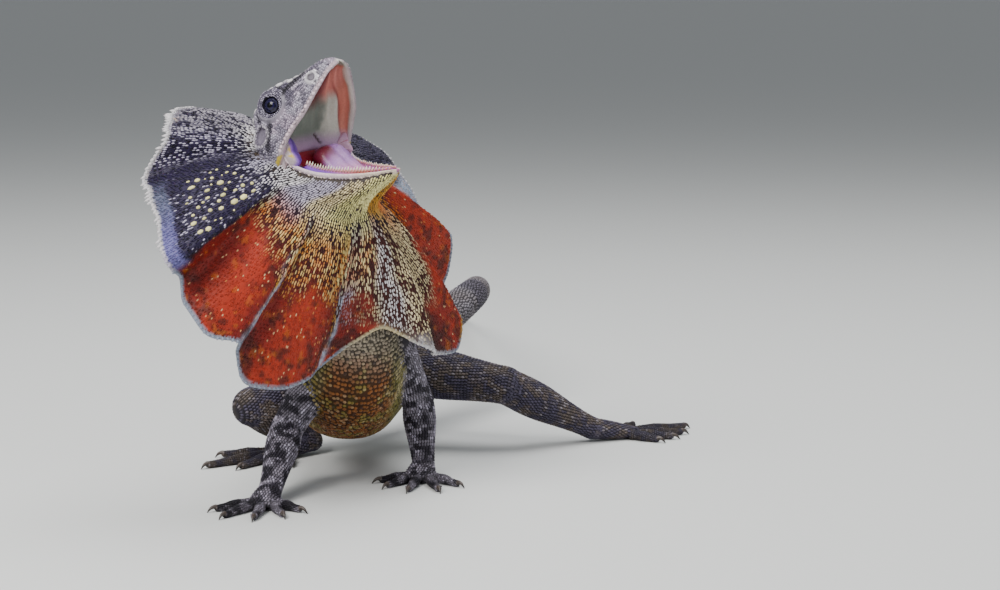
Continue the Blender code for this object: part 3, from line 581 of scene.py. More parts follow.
def membrane(angle, t):
    """The frill's middle surface at fractions t of its ribs: straight ribs from a ring round the head
    and throat to the rim, bowed forwards, folded where the table says, with cords and wrinkles."""
    angle, t = np.broadcast_arrays(np.asarray(angle, float), t)
    reach, sweep, fold = columns_at(RIBS, angle)
    turn, sweep = np.radians(angle), np.radians(sweep)[..., None]
    across, lift = -np.cos(turn)[..., None] * HEAD_LEFT, np.sin(turn)[..., None]

    def ring(above, ahead):
        below = lift > 0
        down, out = np.where(below, 30.0, above) * lift - 3.4, np.where(below, 17.5, ahead) * lift - 9.4
        return MOUTH + HUB_RADIUS * across + down * DOWN + out * FACING

    rib = (across + lift * DOWN) * np.cos(sweep) - np.sin(sweep) * FACING
    rim = ring(7.5, 17.5) + reach[..., None] * rib
    root = ring(13.0, 7.5)
    out = np.clip(t, 0, 1)
    rise = FRILL_BULGE * np.sin(math.pi * out) + fold * out**1.4
    cord = sum(hill(angle, place, 1.1) for place in CORDS)
    rise = rise + 0.9 * cord * ease(0.02, 0.3, t) * (1 - 0.6 * ease(0.8, 1, t))
    rise = rise + 0.5 * np.sin(turn * 26 + 2 * np.sin(t * 5)) * ease(0.25, 0.9, t)
    rise = rise + 2.6 * hill(angle, 12, 9) * hill(t, 0.12, 0.13)  # the pouch behind the jaw's corner
    return root + (rim - root) * t[..., None] + rise[..., None] * FACING


def gular_start(angle):
    """Where the throat's skin begins: along the lower lip for the angles under the jaw, else at the
    frill's own root; and how far an angle is under the jaw."""
    share = np.clip((angle - 90) / 76, -1, 1)
    x = 39.8 * np.cos(share * math.pi / 2) ** 0.75
    half, dip, _ = columns_at(JAW, x)
    lip = placed(JAW_AXES, x, (half - 0.15) * np.tanh(share * 14), -dip - 2.4 + 1.2 * ease(28, 39, x))
    under = ease(8, 19, angle) * ease(172, 161, angle)
    return mix(membrane(angle, -0.12), lip, under), under


def gular_length(angle):
    """About how long the throat's skin is from the lip to the frill's root."""
    return np.linalg.norm(membrane(angle, 0.0) - gular_start(angle)[0], axis=-1)


def frill_front(angle, rho):
    """The frill's front at a distance rho in millimetres along a rib from its root: the membrane
    outwards of JOIN, and inwards of it a curve that leaves the lip and meets it without a crease."""
    angle, rho = np.broadcast_arrays(np.asarray(angle, float), np.asarray(rho, float))
    reach, length = reach_at(angle), gular_length(angle)
    meet = membrane(angle, JOIN)
    slope = (membrane(angle, JOIN + 0.02) - meet) / (0.02 * reach)[..., None]
    start, under = gular_start(angle)
    gap = np.linalg.norm(meet - start, axis=-1)[..., None]
    t = np.clip((rho + length) / (length + JOIN * reach), 0, 1)[..., None]
    side = np.tanh((angle - 90) / 16)[..., None]
    along_lip = unit(side * 0.55 * HEAD_LEFT - JAW_UP - (1 - side**2) * 0.7 * JAW_FORWARD)
    leave = mix(unit(meet - start), along_lip, under)
    inner = curve(start, leave * gap, meet, slope * gap, t)
    outer = membrane(angle, np.maximum(rho / reach, JOIN))
    return np.where((rho < JOIN * reach)[..., None], inner, outer)


# Markings: each gives the colour of a surface from where a point is on it

# Colours round the frill: angle, then of the long scales at the throat and half way out, of the
# membrane beyond them and of the rim, and the fraction of the rib out to which long pale scales
# stand on a dark ground
BANDS = (
    (-90, GREY, GREY, SLATE, WHITE, 1.0),
    (-55, WHITE, GREY, GREY, WHITE, 1.0),
    (-22, WHITE, LAVENDER, SLATE, WHITE, 1.1),
    # at -13 and -7 the long scales are grey and slate: painted shade below the crown's fold
    (-13, GREY, SLATE, SLATE, WHITE, 1.1),
    (-7, GREY, SLATE, NIGHT, WHITE, 1.1),
    (2, LAVENDER, LAVENDER, PURPLE, WHITE, 1.1),
    (14, WHITE, LAVENDER, PURPLE, WHITE, 1.1),
    (20, WHITE, LAVENDER, NIGHT, LAVENDER, 1.1),
    (22, WHITE, OLIVE, BLOOD, ICE, 0.40),
    (28, LAVENDER, AMBER, BLOOD, ICE, 0.42),
    (38, LAVENDER, AMBER, FLAME, ICE, 0.50),
    (48, CREAM, OCHRE, BLOOD, ICE, 0.55),
    (50, CREAM, ICE, ICE, ICE, 0.75),
    (52, CREAM, OCHRE, BLOOD, ICE, 0.52),
    (66, STRAW, AMBER, FLAME, ICE, 0.46),
    (82, STRAW, OCHRE, BLOOD, ICE, 0.60),
    (84, STRAW, ICE, ICE, ICE, 0.85),
    (86, STRAW, LAVENDER, BLOOD, ICE, 0.66),
    (97, STRAW, CREAM, BLOOD, CREAM, 0.80),
    (103, OCHRE, WHITE, CREAM, CREAM, 1.0),
    (111, OCHRE, CREAM, WHITE, WHITE, 1.0),
    (116, OCHRE, CREAM, MAROON, WHITE, 0.80),
    (124, AMBER, CREAM, BLOOD, ICE, 0.60),
    (128, AMBER, CREAM, FLAME, OCHRE, 0.45),
    (132, OCHRE, AMBER, FLAME, CREAM, 0.50),
    (140, OCHRE, AMBER, FLAME, ICE, 0.30),
    (150, OCHRE, MAROON, FLAME, ICE, 0.30),
    (156, GREY, SLATE, ICE, WHITE, 0.60),
    (170, GREY, SLATE, GREY, WHITE, 1.0),
    (225, GREY, GREY, SLATE, WHITE, 1.0),
    (270, GREY, GREY, GREY, WHITE, 1.0),
)
BAND_ANGLES = np.array([row[0] for row in BANDS], float)
BAND_TONES = np.array([row[1:5] for row in BANDS])
BAND_DASHED = np.array([row[5] for row in BANDS])


def band_tones(angle):
    """The four colours of the frill at each angle."""
    row = np.interp(angle, BAND_ANGLES, np.arange(len(BANDS)))
    low = np.minimum(row.astype(int), len(BANDS) - 2)
    share = ease(0.15, 0.85, row - low)[..., None]
    return np.moveaxis(mix(BAND_TONES[low], BAND_TONES[low + 1], share), -2, 0)


def spot_places():
    """Where the right cheek's round straw-coloured spots lie: angle, distance from the root, radius."""
    spread = np.random.default_rng(5)
    places = []
    while len(places) < 40:
        angle, rho = spread.uniform(-2, 18.5), spread.uniform(15, 46)
        clear = all(math.hypot((angle - a) * 0.7, rho - r) > 1.6 + size for a, r, size in places)
        if clear and rho < 36 + 0.6 * angle:
            places.append((angle, rho, 0.5 + 1.1 * spread.random() ** 1.6))
    return np.array(places)


SPOTS = spot_places()


def spotted(angle, rho):
    """How far inside a round spot each place of the frill lies, 1 in the middle of one."""
    found = np.zeros(np.shape(angle))
    for at, out, radius in SPOTS:
        away = np.hypot(np.radians(angle - at) * (HUB_RADIUS + rho), rho - out)
        found = np.maximum(found, ease(radius + 0.5, radius - 0.3, away))
    return found * ease(0.9, 0.8, rho / reach_at(angle))


def dash_share(points, angle, t):
    """1 where long pale scales stand on a dark ground, 0 on the bright membrane beyond them."""
    ragged = 0.24 * (blots(points, 9.0, 3) - 0.5)
    return ease(0.09, -0.13, t + ragged - np.interp(angle, BAND_ANGLES, BAND_DASHED))


def frill_colour(points, angle, rho, chance=None):
    """The frill's front: long pale scales on a dark ground at the throat, then a mottled membrane, then
    the rim. chance is a random number for each scale, which decides which are pale and which dark."""
    reach = reach_at(angle)
    t = rho / reach
    wobble = blots(points, 9.0, 3) - 0.5
    throat, middle, beyond, rim = band_tones(angle + 5 * wobble * ease(0.1, 0.4, t))
    warm = ease(20.5, 23.5, angle) * ease(158, 150, angle)
    dashed = dash_share(points, angle, t)
    stain = 0.5 * blots(points, 7.0, 4) + 0.5 * speckle(points, 2.2, 10)
    sheet = layered(
        beyond,
        (FLAME, 0.7 * warm * ease(0.45, 0.7, blots(points, 11.0, 8))),
        (MAROON * 0.7, 0.7 * warm * ease(0.52, 0.72, stain + 0.12 * ease(0.75, 0.95, t))),
        (AMBER, 0.35 * warm * ease(0.62, 0.8, blots(points, 2.6, 9))),
    )
    near_rim = ease(7.5, 5.0, reach - rho + 3 * wobble)
    border = near_rim * (1 - warm) * ease(-12, 6, angle) * (angle < 90)
    band = mix(STEEL, "6A66A0", ease(2, 14, angle)) * (0.6 + 0.6 * blots(points, 2.5, 11))[..., None]
    fringe = ease(1.7, 0.9, reach - rho)
    if chance is None:
        ground = layered(
            NIGHT * 0.6,
            (PURPLE * 0.4, ease(0, 0.3, t)),
            (MAROON * 0.9, warm * ease(0.05, 0.3, t)),
            ("332A26", ease(0.1, -0.1, t)),
        )
        return layered(sheet, (ground, dashed), (band, border), (rim * 0.7, fringe))
    gold = warm * ease(0.2, 0.34, t) * ease(0.62, 0.5, t) * ease(104, 96, angle)
    pale = layered(throat, (middle, ease(0.05, 0.36, t)), (mix(AMBER, STRAW, chance**2), 0.75 * gold))
    dim = layered(
        NIGHT * 0.6,
        (PURPLE * 0.7, chance),
        (mix(MAROON * 1.6, BLOOD, chance), 0.85 * warm * ease(0.1, 0.35, t)),
        ("5A4A3C", ease(0.16, 0.0, t)),
    )
    streak = speckle(np.stack((np.radians(angle) * 46, rho * 0.2, np.zeros_like(rho)), -1), 1.0, 5)
    lean = 0.42 * chance + 0.33 * streak + 0.25 * blots(points, 6.5, 6)
    cheek = ease(-15, -9, angle) * ease(22, 20, angle)
    # the last term is painted shade: fewer pale scales below the crown's fold, from about -15 to 6 degrees;
    # the others are the gold scales and the cheek's darker ground
    dark = 0.06 * gold + 0.2 * cheek * ease(0.2, 0.4, t) + 0.12 * cheek * ease(6, -3, angle)
    lit = ease(0.40, 0.52, lean - dark + 0.16 * ease(0.22, 0.02, t) + 0.08 * warm)
    dashes = mix(dim, pale * (0.55 + 0.6 * streak + 0.25 * chance)[..., None], lit)
    return layered(
        sheet * (0.75 + 0.5 * chance)[..., None],
        (mix(CREAM, AMBER, streak), 0.8 * (chance > 0.95)),
        (dashes, dashed),
        (band * (0.85 + 0.3 * chance)[..., None], border),
        (rim * 0.8, fringe),
    )


def frill_back_colour(points, angle, t):
    """The frill's back: duller and greyer, with a little of the front's orange showing through."""
    _, middle, beyond, rim = band_tones(angle)
    front = layered(middle, (beyond, ease(0.2, 0.5, t)), (rim, ease(0.95, 0.99, t)))
    dull = mix(GREY, EARTH * 0.8, blots(points, 6.0, 21))
    return layered(dull, (front, 0.3), (SLATE, 0.6 * ease(0.55, 0.7, blots(points, 4.0, 22))))


def trunk_colour(points, row, turn, chance=None):
    """Grey-brown back with darker bars, grey sides netted with purple, and an olive chest with a rust
    middle."""
    belly = np.degrees(np.abs(np.angle(np.exp(1j * (turn - 1.5 * math.pi)))))
    ragged = belly + 30 * (blots(points, 8.0, 31) - 0.5)
    bars = 0.5 + 0.5 * np.sin(row * 5.2 + 2 * speckle(points, 14.0, 33))
    back = layered(GREY, (EARTH, blots(points, 10.0, 32)), (SLATE * 0.7, 0.7 * ease(0.55, 0.8, bars)))
    side = mix(GREY, SLATE, ease(0.45, 0.6, blots(points, 5.0, 34)))
    rust = ease(58, 30, ragged) * ease(11.0, 12.2, row) * ease(15.6, 14.6, row)
    throat = mix(LAVENDER * 0.8, PURPLE, ease(0.45, 0.6, blots(points, 4.0, 37)))
    colour = layered(
        "6C652E",
        ("A2966C", ease(0.5, 0.7, blots(points, 7.0, 35))),
        (mix("5C3210", "94501C", blots(points, 4.0, 38)), rust * 0.9),
        ("7C7030", 0.8 * ease(0.5, 0.62, blots(points, 4.6, 36)) * rust),
        ("A49A8C", 0.8 * ease(14.2, 15.2, row)),
        (side, ease(66, 90, ragged)),
        (back, ease(100, 128, ragged)),
        (back, ease(10.2, 9.2, row)),
        (throat, 0.8 * ease(15.6, 16.6, row)),
    )
    if chance is None:
        return colour
    return layered(
        colour * (0.75 + 0.45 * chance)[..., None],
        (NIGHT, 0.7 * (chance < 0.07) * ease(9.5, 10.5, row)),
        (CREAM * 0.7, 0.3 * (chance > 0.9) * ease(80, 60, belly) * ease(11, 12, row)),
    )


def limb_colour(points, hind, chance=None):
    """Purple-black netted with pale grey on the arms, softer and browner on the hind legs."""
    bars = blots(points * (1, 1, 1.6), 5.5, 41)
    net = ease(0.40, 0.62, 0.55 * bars + 0.45 * speckle(points, 2.2, 42))
    dark, pale = (SLATE * 0.8, EARTH * 1.1) if hind else ("2A2530", "8A8390")
    colour = mix(dark, pale, net)
    if chance is None:
        return colour
    colour = mix(colour, GREY if hind else LAVENDER, 0.5 * (chance > 0.8) * net)
    return colour * (0.7 + 0.6 * chance)[..., None]


def skull_colour(points, chance=None):
    """Pale grey head with a dark line from the eye to the nostril, another down to the mouth's corner,
    painted shade in the crease over the brow, a pale pink lip, and a mottled snout."""
    x, y, z = measured(SKULL_AXES, points)
    z = z + look_up(SKULL, x)[..., 3] * np.clip(1 - z / LIP_FADE, 0, 1)
    mottle = blots(points, 3.2, 51)
    rosy = ease(13, 7, z) * ease(0, 8, x) * ease(0.35, 0.6, blots(points, 5.0, 52))
    snout = ease(14, 22, x) * ease(4, 9, z)
    loreal = near_line(x, z, (17.0, 13.8), (28.5, 10.8))
    cheek = near_line(x, z, (8.6, 11.4), (-0.5, 6.4))
    eye = distance(x, y, z, EYE, 2.0)
    # painted shade: a dark band in the crease over each eye, between the lid and the brow
    brow_crease_shade = hill(eye, 7.6, 0.9) * ease(12.5, 15.5, z + 0.25 * (x - 13))
    ear = distance(x, y, z, EAR)
    drum = layered("8D8396", ("5B5262", hill(ear, 3.3, 0.5)), ("BDB6C0", ease(3.6, 4.2, ear)))
    corner = hill(x, -2.2, 3.0) * hill(z, -0.4, 2.2)
    pit = distance(x, y, z, NOSTRIL, 0.5)
    colour = layered(
        "A59FAE",
        ("7A7383", ease(0.35, 0.7, mottle)),
        ("B7A4B8", 0.6 * rosy),
        (SLATE * 0.8, 0.8 * snout * ease(0.48, 0.58, mottle)),
        (NIGHT, 0.9 * ease(1.9, 0.8, loreal + 2.2 * (mottle - 0.5))),
        (NIGHT, 0.9 * ease(1.7, 0.7, cheek + 1.4 * (mottle - 0.5))),
        ("A8A2B0", 0.6 * ease(7.4, 6.2, eye)),
        (NIGHT, 0.9 * brow_crease_shade),
        (drum, 0.8 * ease(5.0, 4.4, ear)),
        (SLATE * 0.8, 0.7 * ease(3, -7, x) * ease(0.4, 0.6, mottle)),
        ("D2BCC4", 0.85 * ease(2.4, 1.5, z) * ease(-2, 2, x)),
        ("D8BE2E", 0.9 * ease(0.35, 0.5, corner + 0.3 * (mottle - 0.5))),
        ("E6E0E8", ease(3.3, 2.9, pit)),
        ("9A93A0", ease(1.7, 1.3, pit)),
        ("3A3238", 0.9 * hill(pit, 1.5, 0.3) * ease(0.6, -0.3, x - NOSTRIL[0])),
    )
    if chance is None:
        return colour
    dark = 0.7 * (chance < 0.16) * ease(2.2, 3.0, z)
    return mix(colour * (0.68 + 0.55 * chance)[..., None], SLATE * 0.5, dark)


def palate_hollow(x, y):
    """Where the palate is hollowed at the front of the mouth, 1 inside and 0 outside."""
    return ease(14, 20, x - 0.4 * y) * ease(35, 32, x) * ease(-8, -5, y) * ease(9.5, 7, y)


def palate_colour(points):
    """Inside of the upper jaw: a pale rim, a coral hollow and strip beside it, and a grey-white roof
    with a slit."""
    x, y, _ = measured(SKULL_AXES, points)
    inset = look_up(SKULL, x)[..., 0] - np.abs(y)
    strip = ease(1.6, 2.1, inset) * ease(-2, 3, x) * ease(36, 33, x)
    return layered(
        "646A60",
        ("B8B4A8", ease(1.0, 9.0, y + 7 * (blots(points, 4.0, 61) - 0.5))),
        ("4E544A", 0.5 * hill(y, 2, 2.5) * ease(22, 14, x) * ease(5, 9, x)),
        ("BE6A56", 0.95 * strip * ease(5.8, 4.8, inset) * (y > 0)),
        (mix("5C141A", "C07468", ease(1.0, 5.0, y)), palate_hollow(x, y)),
        ("7A1A18", 0.9 * hill(inset, 5.2, 0.4) * (y > 0) * ease(2, 6, x) * ease(27, 22, x)),
        # painted shadow of the near upper lip: a brown band on the near side of the palate, inside the lip
        ("5E4640", 0.8 * strip * ease(7.0, 3.0, inset) * (y < 0) * ease(3, 10, x)),
        ("C9C7BE", ease(2.1, 1.6, inset)),
        ("B08CAE", 0.9 * ease(7, 1, x)),
        ("2A0A10", ease(0.7, 0.25, near_line(x, y, *SLIT))),
        ("5E1224", 0.9 * ease(1.4, -0.4, x) * ease(12, 8, np.abs(y))),
    )


def floor_colour(points):
    """Inside of the lower jaw: a pink-white lip, then violet and rose, and red towards the throat."""
    x, y, _ = measured(JAW_AXES, points)
    half = look_up(JAW, x)[..., 0]
    edge = (half - np.abs(y)) / half
    return layered(
        "9A5FA4",
        ("BE7298", blots(points, 4.0, 62)),
        ("C8703E", 0.8 * hill(edge, 0.28, 0.05) * ease(6, 12, x) * ease(38, 30, x) * (y < 0)),
        (mix("7A48B8", "B77FA8", ease(14, 26, x)), 0.95 * ease(0.25, 0.20, edge)),
        ("DCC4CC", ease(0.09, 0.06, edge)),
        ("8A1628", ease(14, 7, x) * ease(0.2, 0.36, edge) * ease(2, -2, y)),
    )


# Limbs


def limb_grid(start, end, girths, across, shrink=COAT):
    """A tapering tube between two joints with a dome at each end: its rings, and its line and axes."""
    girths = np.array(girths)
    span = np.linalg.norm(end - start)
    axis = (end - start) / span
    side = unit(across - axis * np.dot(across, axis))
    up = np.cross(side, axis)
    bend = np.sin(np.radians((78, 60, 42, 26, 12)))
    dome = np.sqrt(1 - bend**2)
    straight = np.linspace(0, 1, 24) * span
    along = np.concatenate((-dome[::-1] * girths[0, 1:].min(), straight, span + dome * girths[-1, 1:].min()))
    scale = np.concatenate((bend[::-1], np.ones(24), bend))
    half, deep = (columns_at(girths, along / span) - shrink)[..., None] * scale[:, None]
    centres = start + np.outer(along, axis)
    rings = round_at(centres[:, None], side, up, half, deep, turns_round(32))
    return rings, (start, axis, span, side, up, girths)


def digit_line(base, heading, length, radius):
    """Centres and girths of a finger or toe: it arches to its knuckle and comes down at the claw."""
    steps = np.array((0.0, 0.28, 0.52, 0.78, 1.0, 1.06, 1.16, 1.26))
    reach = length * steps
    reach[5:] = length + CLAW_LENGTH * 0.2 * np.array((1.0, 3.2, 5.0))
    lift = np.array((0.8, 1.0, 1.05, 0.9, 0.85, 0.95, 0.75, 0.18)) * radius
    girth = np.array((1.1, 1.0, 1.12, 0.86, 0.72, 0.50, 0.34, 0.08)) * radius
    centres = base + np.outer(reach, heading)
    centres[:, 2] = np.interp(steps, (0, 0.5, 1.26), (base[2], base[2] * 0.2, 0)) + lift - SOLE_DEPTH
    return centres, girth


def read_digit(centres, girths, at):
    """The middle line and the girth of a digit at fractional places in its tables."""
    read = smooth(np.c_[centres, girths], at)
    return read[..., :3], read[..., 3]


def limb_parts(joints, girths, digits, sign, radius):
    """The tubes of a limb, and the way, centres and girths of each of its digits."""
    joints = np.array(joints)
    heading = unit((joints[3] - joints[2]) * (1, 1, 0))
    level = np.cross((0, 0, 1), heading)
    bend = np.cross(joints[1] - joints[0], joints[2] - joints[1])
    tubes = [
        limb_grid(joints[0], joints[1], girths[0], bend),
        limb_grid(joints[1], joints[2], girths[1], bend),
        limb_grid(joints[2], joints[3], girths[2], -level, DIGIT_COAT),
    ]
    lines = []
    for number, (angle, length) in enumerate(digits):
        turn = math.radians(sign * angle)
        way = heading * math.cos(turn) + level * math.sin(turn)
        base = joints[3] - heading * 4.0 + level * sign * (number - 2) * 2.3
        base[2] = 0.9
        lines.append((way, *digit_line(base, way, length + 4.0, radius)))
    return tubes, lines


def all_limbs():
    limbs = {}
    arm, leg = (UPPER_ARM, FOREARM, PALM), (THIGH, SHIN, INSTEP)
    for side, sign in (("right", -1), ("left", 1)):
        limbs[f"arm_{side}"] = limb_parts(ARMS[side], arm, FINGERS, sign, FINGER_RADIUS)
        limbs[f"leg_{side}"] = limb_parts(LEGS[side], leg, TOES, sign, TOE_RADIUS)
    return limbs


LIMBS = all_limbs()


# Skins


def tube_rings(centres, girths, count):
    """Circles round a path whose sides are level, flattened where they would pass below the ground."""
    ways = unit(np.gradient(centres, axis=0))
    sides = unit(np.cross(ways, (0, 0, 1.0)))
    ups = np.cross(sides, ways)[:, None]
    girths = girths[:, None]
    rings = round_at(centres[:, None], sides[:, None], ups, girths, girths, turns_round(count))
    rings[..., 2] = np.maximum(rings[..., 2], LOWEST)
    return rings


def remeshed(parts, voxel, rounds):
    """Closed shapes fused into one skin by counting small cubes inside them, then evened out."""
    piece = make_piece("body_core", *joined(parts), SKIN)
    fuse = piece.modifiers.new("fuse", "REMESH")
    fuse.mode, fuse.voxel_size, fuse.use_smooth_shade = "VOXEL", voxel * MM, True
    even = piece.modifiers.new("even", "SMOOTH")
    even.factor, even.iterations = 0.5, rounds
    fused = bpy.data.meshes.new_from_object(piece.evaluated_get(bpy.context.evaluated_depsgraph_get()))
    bpy.data.objects.remove(piece)
    spots = np.empty(len(fused.vertices) * 3, np.float32)
    fused.vertices.foreach_get("co", spots)
    counts = np.empty(len(fused.polygons), np.int32)
    fused.polygons.foreach_get("loop_total", counts)
    corners = np.empty(len(fused.loops), np.int32)
    fused.loops.foreach_get("vertex_index", corners)
    starts = np.cumsum(counts) - counts
    sizes = [size for size in (4, 3) if (counts == size).any()]
    faces = [corners[starts[counts == size][:, None] + np.arange(size)] for size in sizes]
    bpy.data.meshes.remove(fused)
    return spots.reshape(-1, 3) / MM + ORIGIN, faces


def build_body_skin():
    """One skin over the trunk, tail and legs. The fused part takes its colours from the nearest points
    of the shapes that it was made from."""
    rows, turns = crossed(np.linspace(TAIL_REMESHED, NECK_TOP, 260), turns_round(72))
    shapes = [trunk_point(rows, turns)]
    shades = [trunk_colour(shapes[0], rows, turns)]
    for name, (tubes, _) in LIMBS.items():
        for rings, _ in tubes:
            shapes.append(rings)
            shades.append(limb_colour(rings, name.startswith("leg")))
    points, faces = remeshed([capped(rings) for rings in shapes], 0.9, 5)
    points[:, 2] = np.maximum(points[:, 2], LOWEST)
    tints = np.concatenate([shade.reshape(-1, 3) for shade in shades])
    known = np.concatenate([rings.reshape(-1, 3) for rings in shapes])
    tree = KDTree(len(known))
    for i, spot in enumerate(known):
        tree.insert(spot, i)
    tree.balance()
    parts, shades = [(points, faces)], [tints[[tree.find(spot)[1] for spot in points]]]
    rows, turns = crossed(np.linspace(0, TAIL_REMESHED + 0.3, 120), turns_round(24))
    tail = trunk_point(rows, turns)
    tail[..., 2] = np.maximum(tail[..., 2], LOWEST)
    parts.append(capped(tail))
    ends = (0, 4)  # rows that the colours of the tail's two ends are read from
    shades.append(trunk_colour(parts[-1][0], np.append(rows.ravel(), ends), np.zeros(rows.size + 2)))
    for name, (_, lines) in LIMBS.items():
        for _, centres, girths in lines:
            line, girth = read_digit(centres, girths, np.linspace(0, 4.6, 26))
            parts.append(capped(tube_rings(line, girth - DIGIT_COAT, 16)))
            shades.append(limb_colour(parts[-1][0], name.startswith("leg")))
    points, faces = joined(parts)
    # the skin between the scales is painted dark, as painted shade in the gaps between them
    skin = make_piece("body_skin", points, faces, SKIN, "grey_skin", np.concatenate(shades) * GAP_PAINTED_SHADE)
    lengths = ("upper_arm", "forearm", "hand", "thigh", "shin", "foot")
    names = [f"{word}_{side}" for word in lengths for side in ("left", "right")]
    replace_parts(skin, "torso", "neck", "tail_1", "tail_2", "tail_3", "tail_4", *names)
    return points, faces


def build_lined_skin(name, outer, inner, outer_tint, inner_tint, replaced):
    """A skin from rings of points that are dry skin outside and wet lining inside."""
    points, faces = capped(np.concatenate((outer, inner), 1))
    tint = capped_tint(np.concatenate((outer_tint, inner_tint), 1))
    skin = make_piece(name, points, faces, SKIN, "grey_skin", tint)
    skin.data.materials.append(LINING)
    column = np.tile(np.arange(outer.shape[1] + inner.shape[1]), len(outer) - 1)
    index = np.zeros(len(skin.data.polygons), np.int32)
    index[: len(column)] = column >= outer.shape[1] - 1
    skin.data.polygons.foreach_set("material_index", index)
    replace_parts(skin, replaced)
    return points, faces


def build_skull_skin():
    """The head's skin: the arch over it, then the lip, the gum and the palate, in rings from behind the
    skull to the tip."""
    tip = 33.4 + 3.8 * np.sin(np.linspace(0.06, 1, 22) * math.pi / 2)
    x = np.concatenate((np.linspace(-11.9, 33.4, 150), tip))
    outer = skull_point_at(*crossed(x, np.linspace(0, math.pi, 150)))
    outer += 0.18 * (speckle(outer, 1.6, 71) - 0.5)[..., None] * normals_of(outer)
    x = x[:, None]
    half, _, rise, drop = columns_at(SKULL, x)
    under = np.linspace(math.pi, 2 * math.pi, 62)[1:-1]
    sideways = np.abs(np.cos(under))
    y = np.maximum(half - LIP, half * 0.4) * np.cos(under)
    depth = np.abs(np.sin(under)) ** 0.55
    ridges = 0.35 * np.sin(under * 16) * ease(0.5, 0.9, depth) + 1.1 * hill(sideways, 0.55, 0.12)
    z = rise * depth + ridges * ease(6, 12, x) * ease(36, 32, x) - drop * sideways
    z = z + 1.6 * palate_hollow(x, y) + 1.2 * hill(near_line(x, y, *SLIT), 0, 0.9)
    rings = np.concatenate((outer, placed(SKULL_AXES, x, y, z)), 1)
    back = rings[0] - SKULL_FORWARD * 5
    back = back.mean(0) + (back - back.mean(0)) * 0.8
    outer, palate = np.split(np.concatenate((back[None], rings)), [150], 1)
    # the head's skin between its scales is painted 0.6 as bright, as painted shade in the gaps; the palate
    # is not
    colours = skull_colour(outer) * 0.6, palate_colour(palate)
    return build_lined_skin("head_skin", outer, palate, *colours, "head")


def build_jaw_skin():
    """The lower jaw's skin: chin, lip, gum and the mouth's floor, in rings from the throat to the tip."""
    tip = 37.0 + 3.6 * np.sin(np.linspace(0.08, 1, 16) * math.pi / 2)
    x = np.concatenate((np.linspace(-1.0, 37.0, 110), tip))[:, None]
    half, dip, deep = columns_at(JAW, x)
    under = np.linspace(0, math.pi, 80)
    bead = 0.25 * hill(under, 0.09, 0.08) + 0.25 * hill(under, math.pi - 0.09, 0.08)
    chin_y = (half - 0.1) * np.sign(np.cos(under)) * np.abs(np.cos(under)) ** (2 / SQUARENESS)
    chin_y = chin_y * (1 + bead / np.maximum(half, 3))
    chin_z = -dip - np.maximum(0.55 * (deep - dip), 1.2) * np.sin(under) ** (2 / SQUARENESS)
    over = np.linspace(math.pi, 2 * math.pi, 72)[1:-1]
    floor_y = np.maximum(half - LIP, half * 0.4) * np.cos(over)
    floor_deep = np.minimum(JAW_FLOOR, 0.5 * (deep - dip)) * np.clip(x / 6.0, 0, 1)
    gum = hill(np.abs(np.cos(over)), 0.86, 0.07) * ease(3, 8, x) * ease(40.2, 38, x)
    floor_z = -dip - floor_deep * np.abs(np.sin(over)) ** 0.6 * (1 - gum) + 1.1 * gum
    chin, floor = placed(JAW_AXES, x, chin_y, chin_z), placed(JAW_AXES, x, floor_y, floor_z)
    lip = mix("D9C6CC", "DDCBB8", ease(24, 36, x + 0 * under))
    build_lined_skin("lower_jaw_skin", chin, floor, lip, floor_colour(floor), "lower_jaw")


# How far the web at the mouth's corner reaches from the hinge, from deep inside out past the lip
GAPE_EDGES = (0.40, 0.50, 0.60, 0.70, 0.80, 0.90, 0.97, 1.03, 1.08, 1.12)
GAPE_REACHES = (-9, -4.5, -0.5, 2.6, 4.6, 5.8, 5.8, 3.8, 0, -5)


def build_gape():
    """The skin that spans the jaws at each corner of the mouth: from a swing s of -0.3 to 1.5 between
    the skull (0) and the lower jaw (1), an arc whose reach from the hinge is read from a table."""
    edge, s = np.meshgrid(np.linspace(0.42, 1.12, 50), np.linspace(-0.3, 1.5, 60))
    swing = (s * math.pi / 2)[..., None]
    way = SKULL_FORWARD * np.cos(swing) + JAW_FORWARD * np.sin(swing)
    for word, side in (("near", -1.0), ("far", 1.0)):
        out = np.interp(edge, GAPE_EDGES, GAPE_REACHES)
        out = (out - 1.6 * (side > 0)) * np.minimum(0.5 + 1.6 * (s - 0.5) ** 2, 1.15)
        grid = MOUTH + HEAD_LEFT * (side * edge * 17.2)[..., None] + way * out[..., None]
        mottle = blots(grid, 2.6, 64)
        if word == "near":
            violet, red = ("3E2274", 0.7 * hill(edge, 0.90, 0.06)), ("8A1630", 0.9 * ease(0.70, 0.62, edge))
            tint = layered("63399A", ("8E62B4", mottle), violet, red)
        else:
            tint = layered("B584A8", ("D2A8BC", mottle), ("9A3A40", 0.7 * hill(s, 0.3, 0.05)))
        gold = ease(0.0, 0.2, s) * ease(1.1, 0.9, s) * ease(0.30, 0.44, mottle)
        tint = mix(tint, mix("A8989C", "C4A81A", gold), ease(0.98, 1.02, edge))
        behind = grid - 0.5 * way
        points, faces = capped(np.concatenate((grid, behind[:, ::-1]), 1))
        faces = [f[:, ::-1] for f in faces] if side > 0 else faces
        tints = capped_tint(np.concatenate((tint, tint[:, ::-1]), 1))
        make_piece(f"gape_skin_{word}", points, faces, LINING, "mouth_lining", tints)


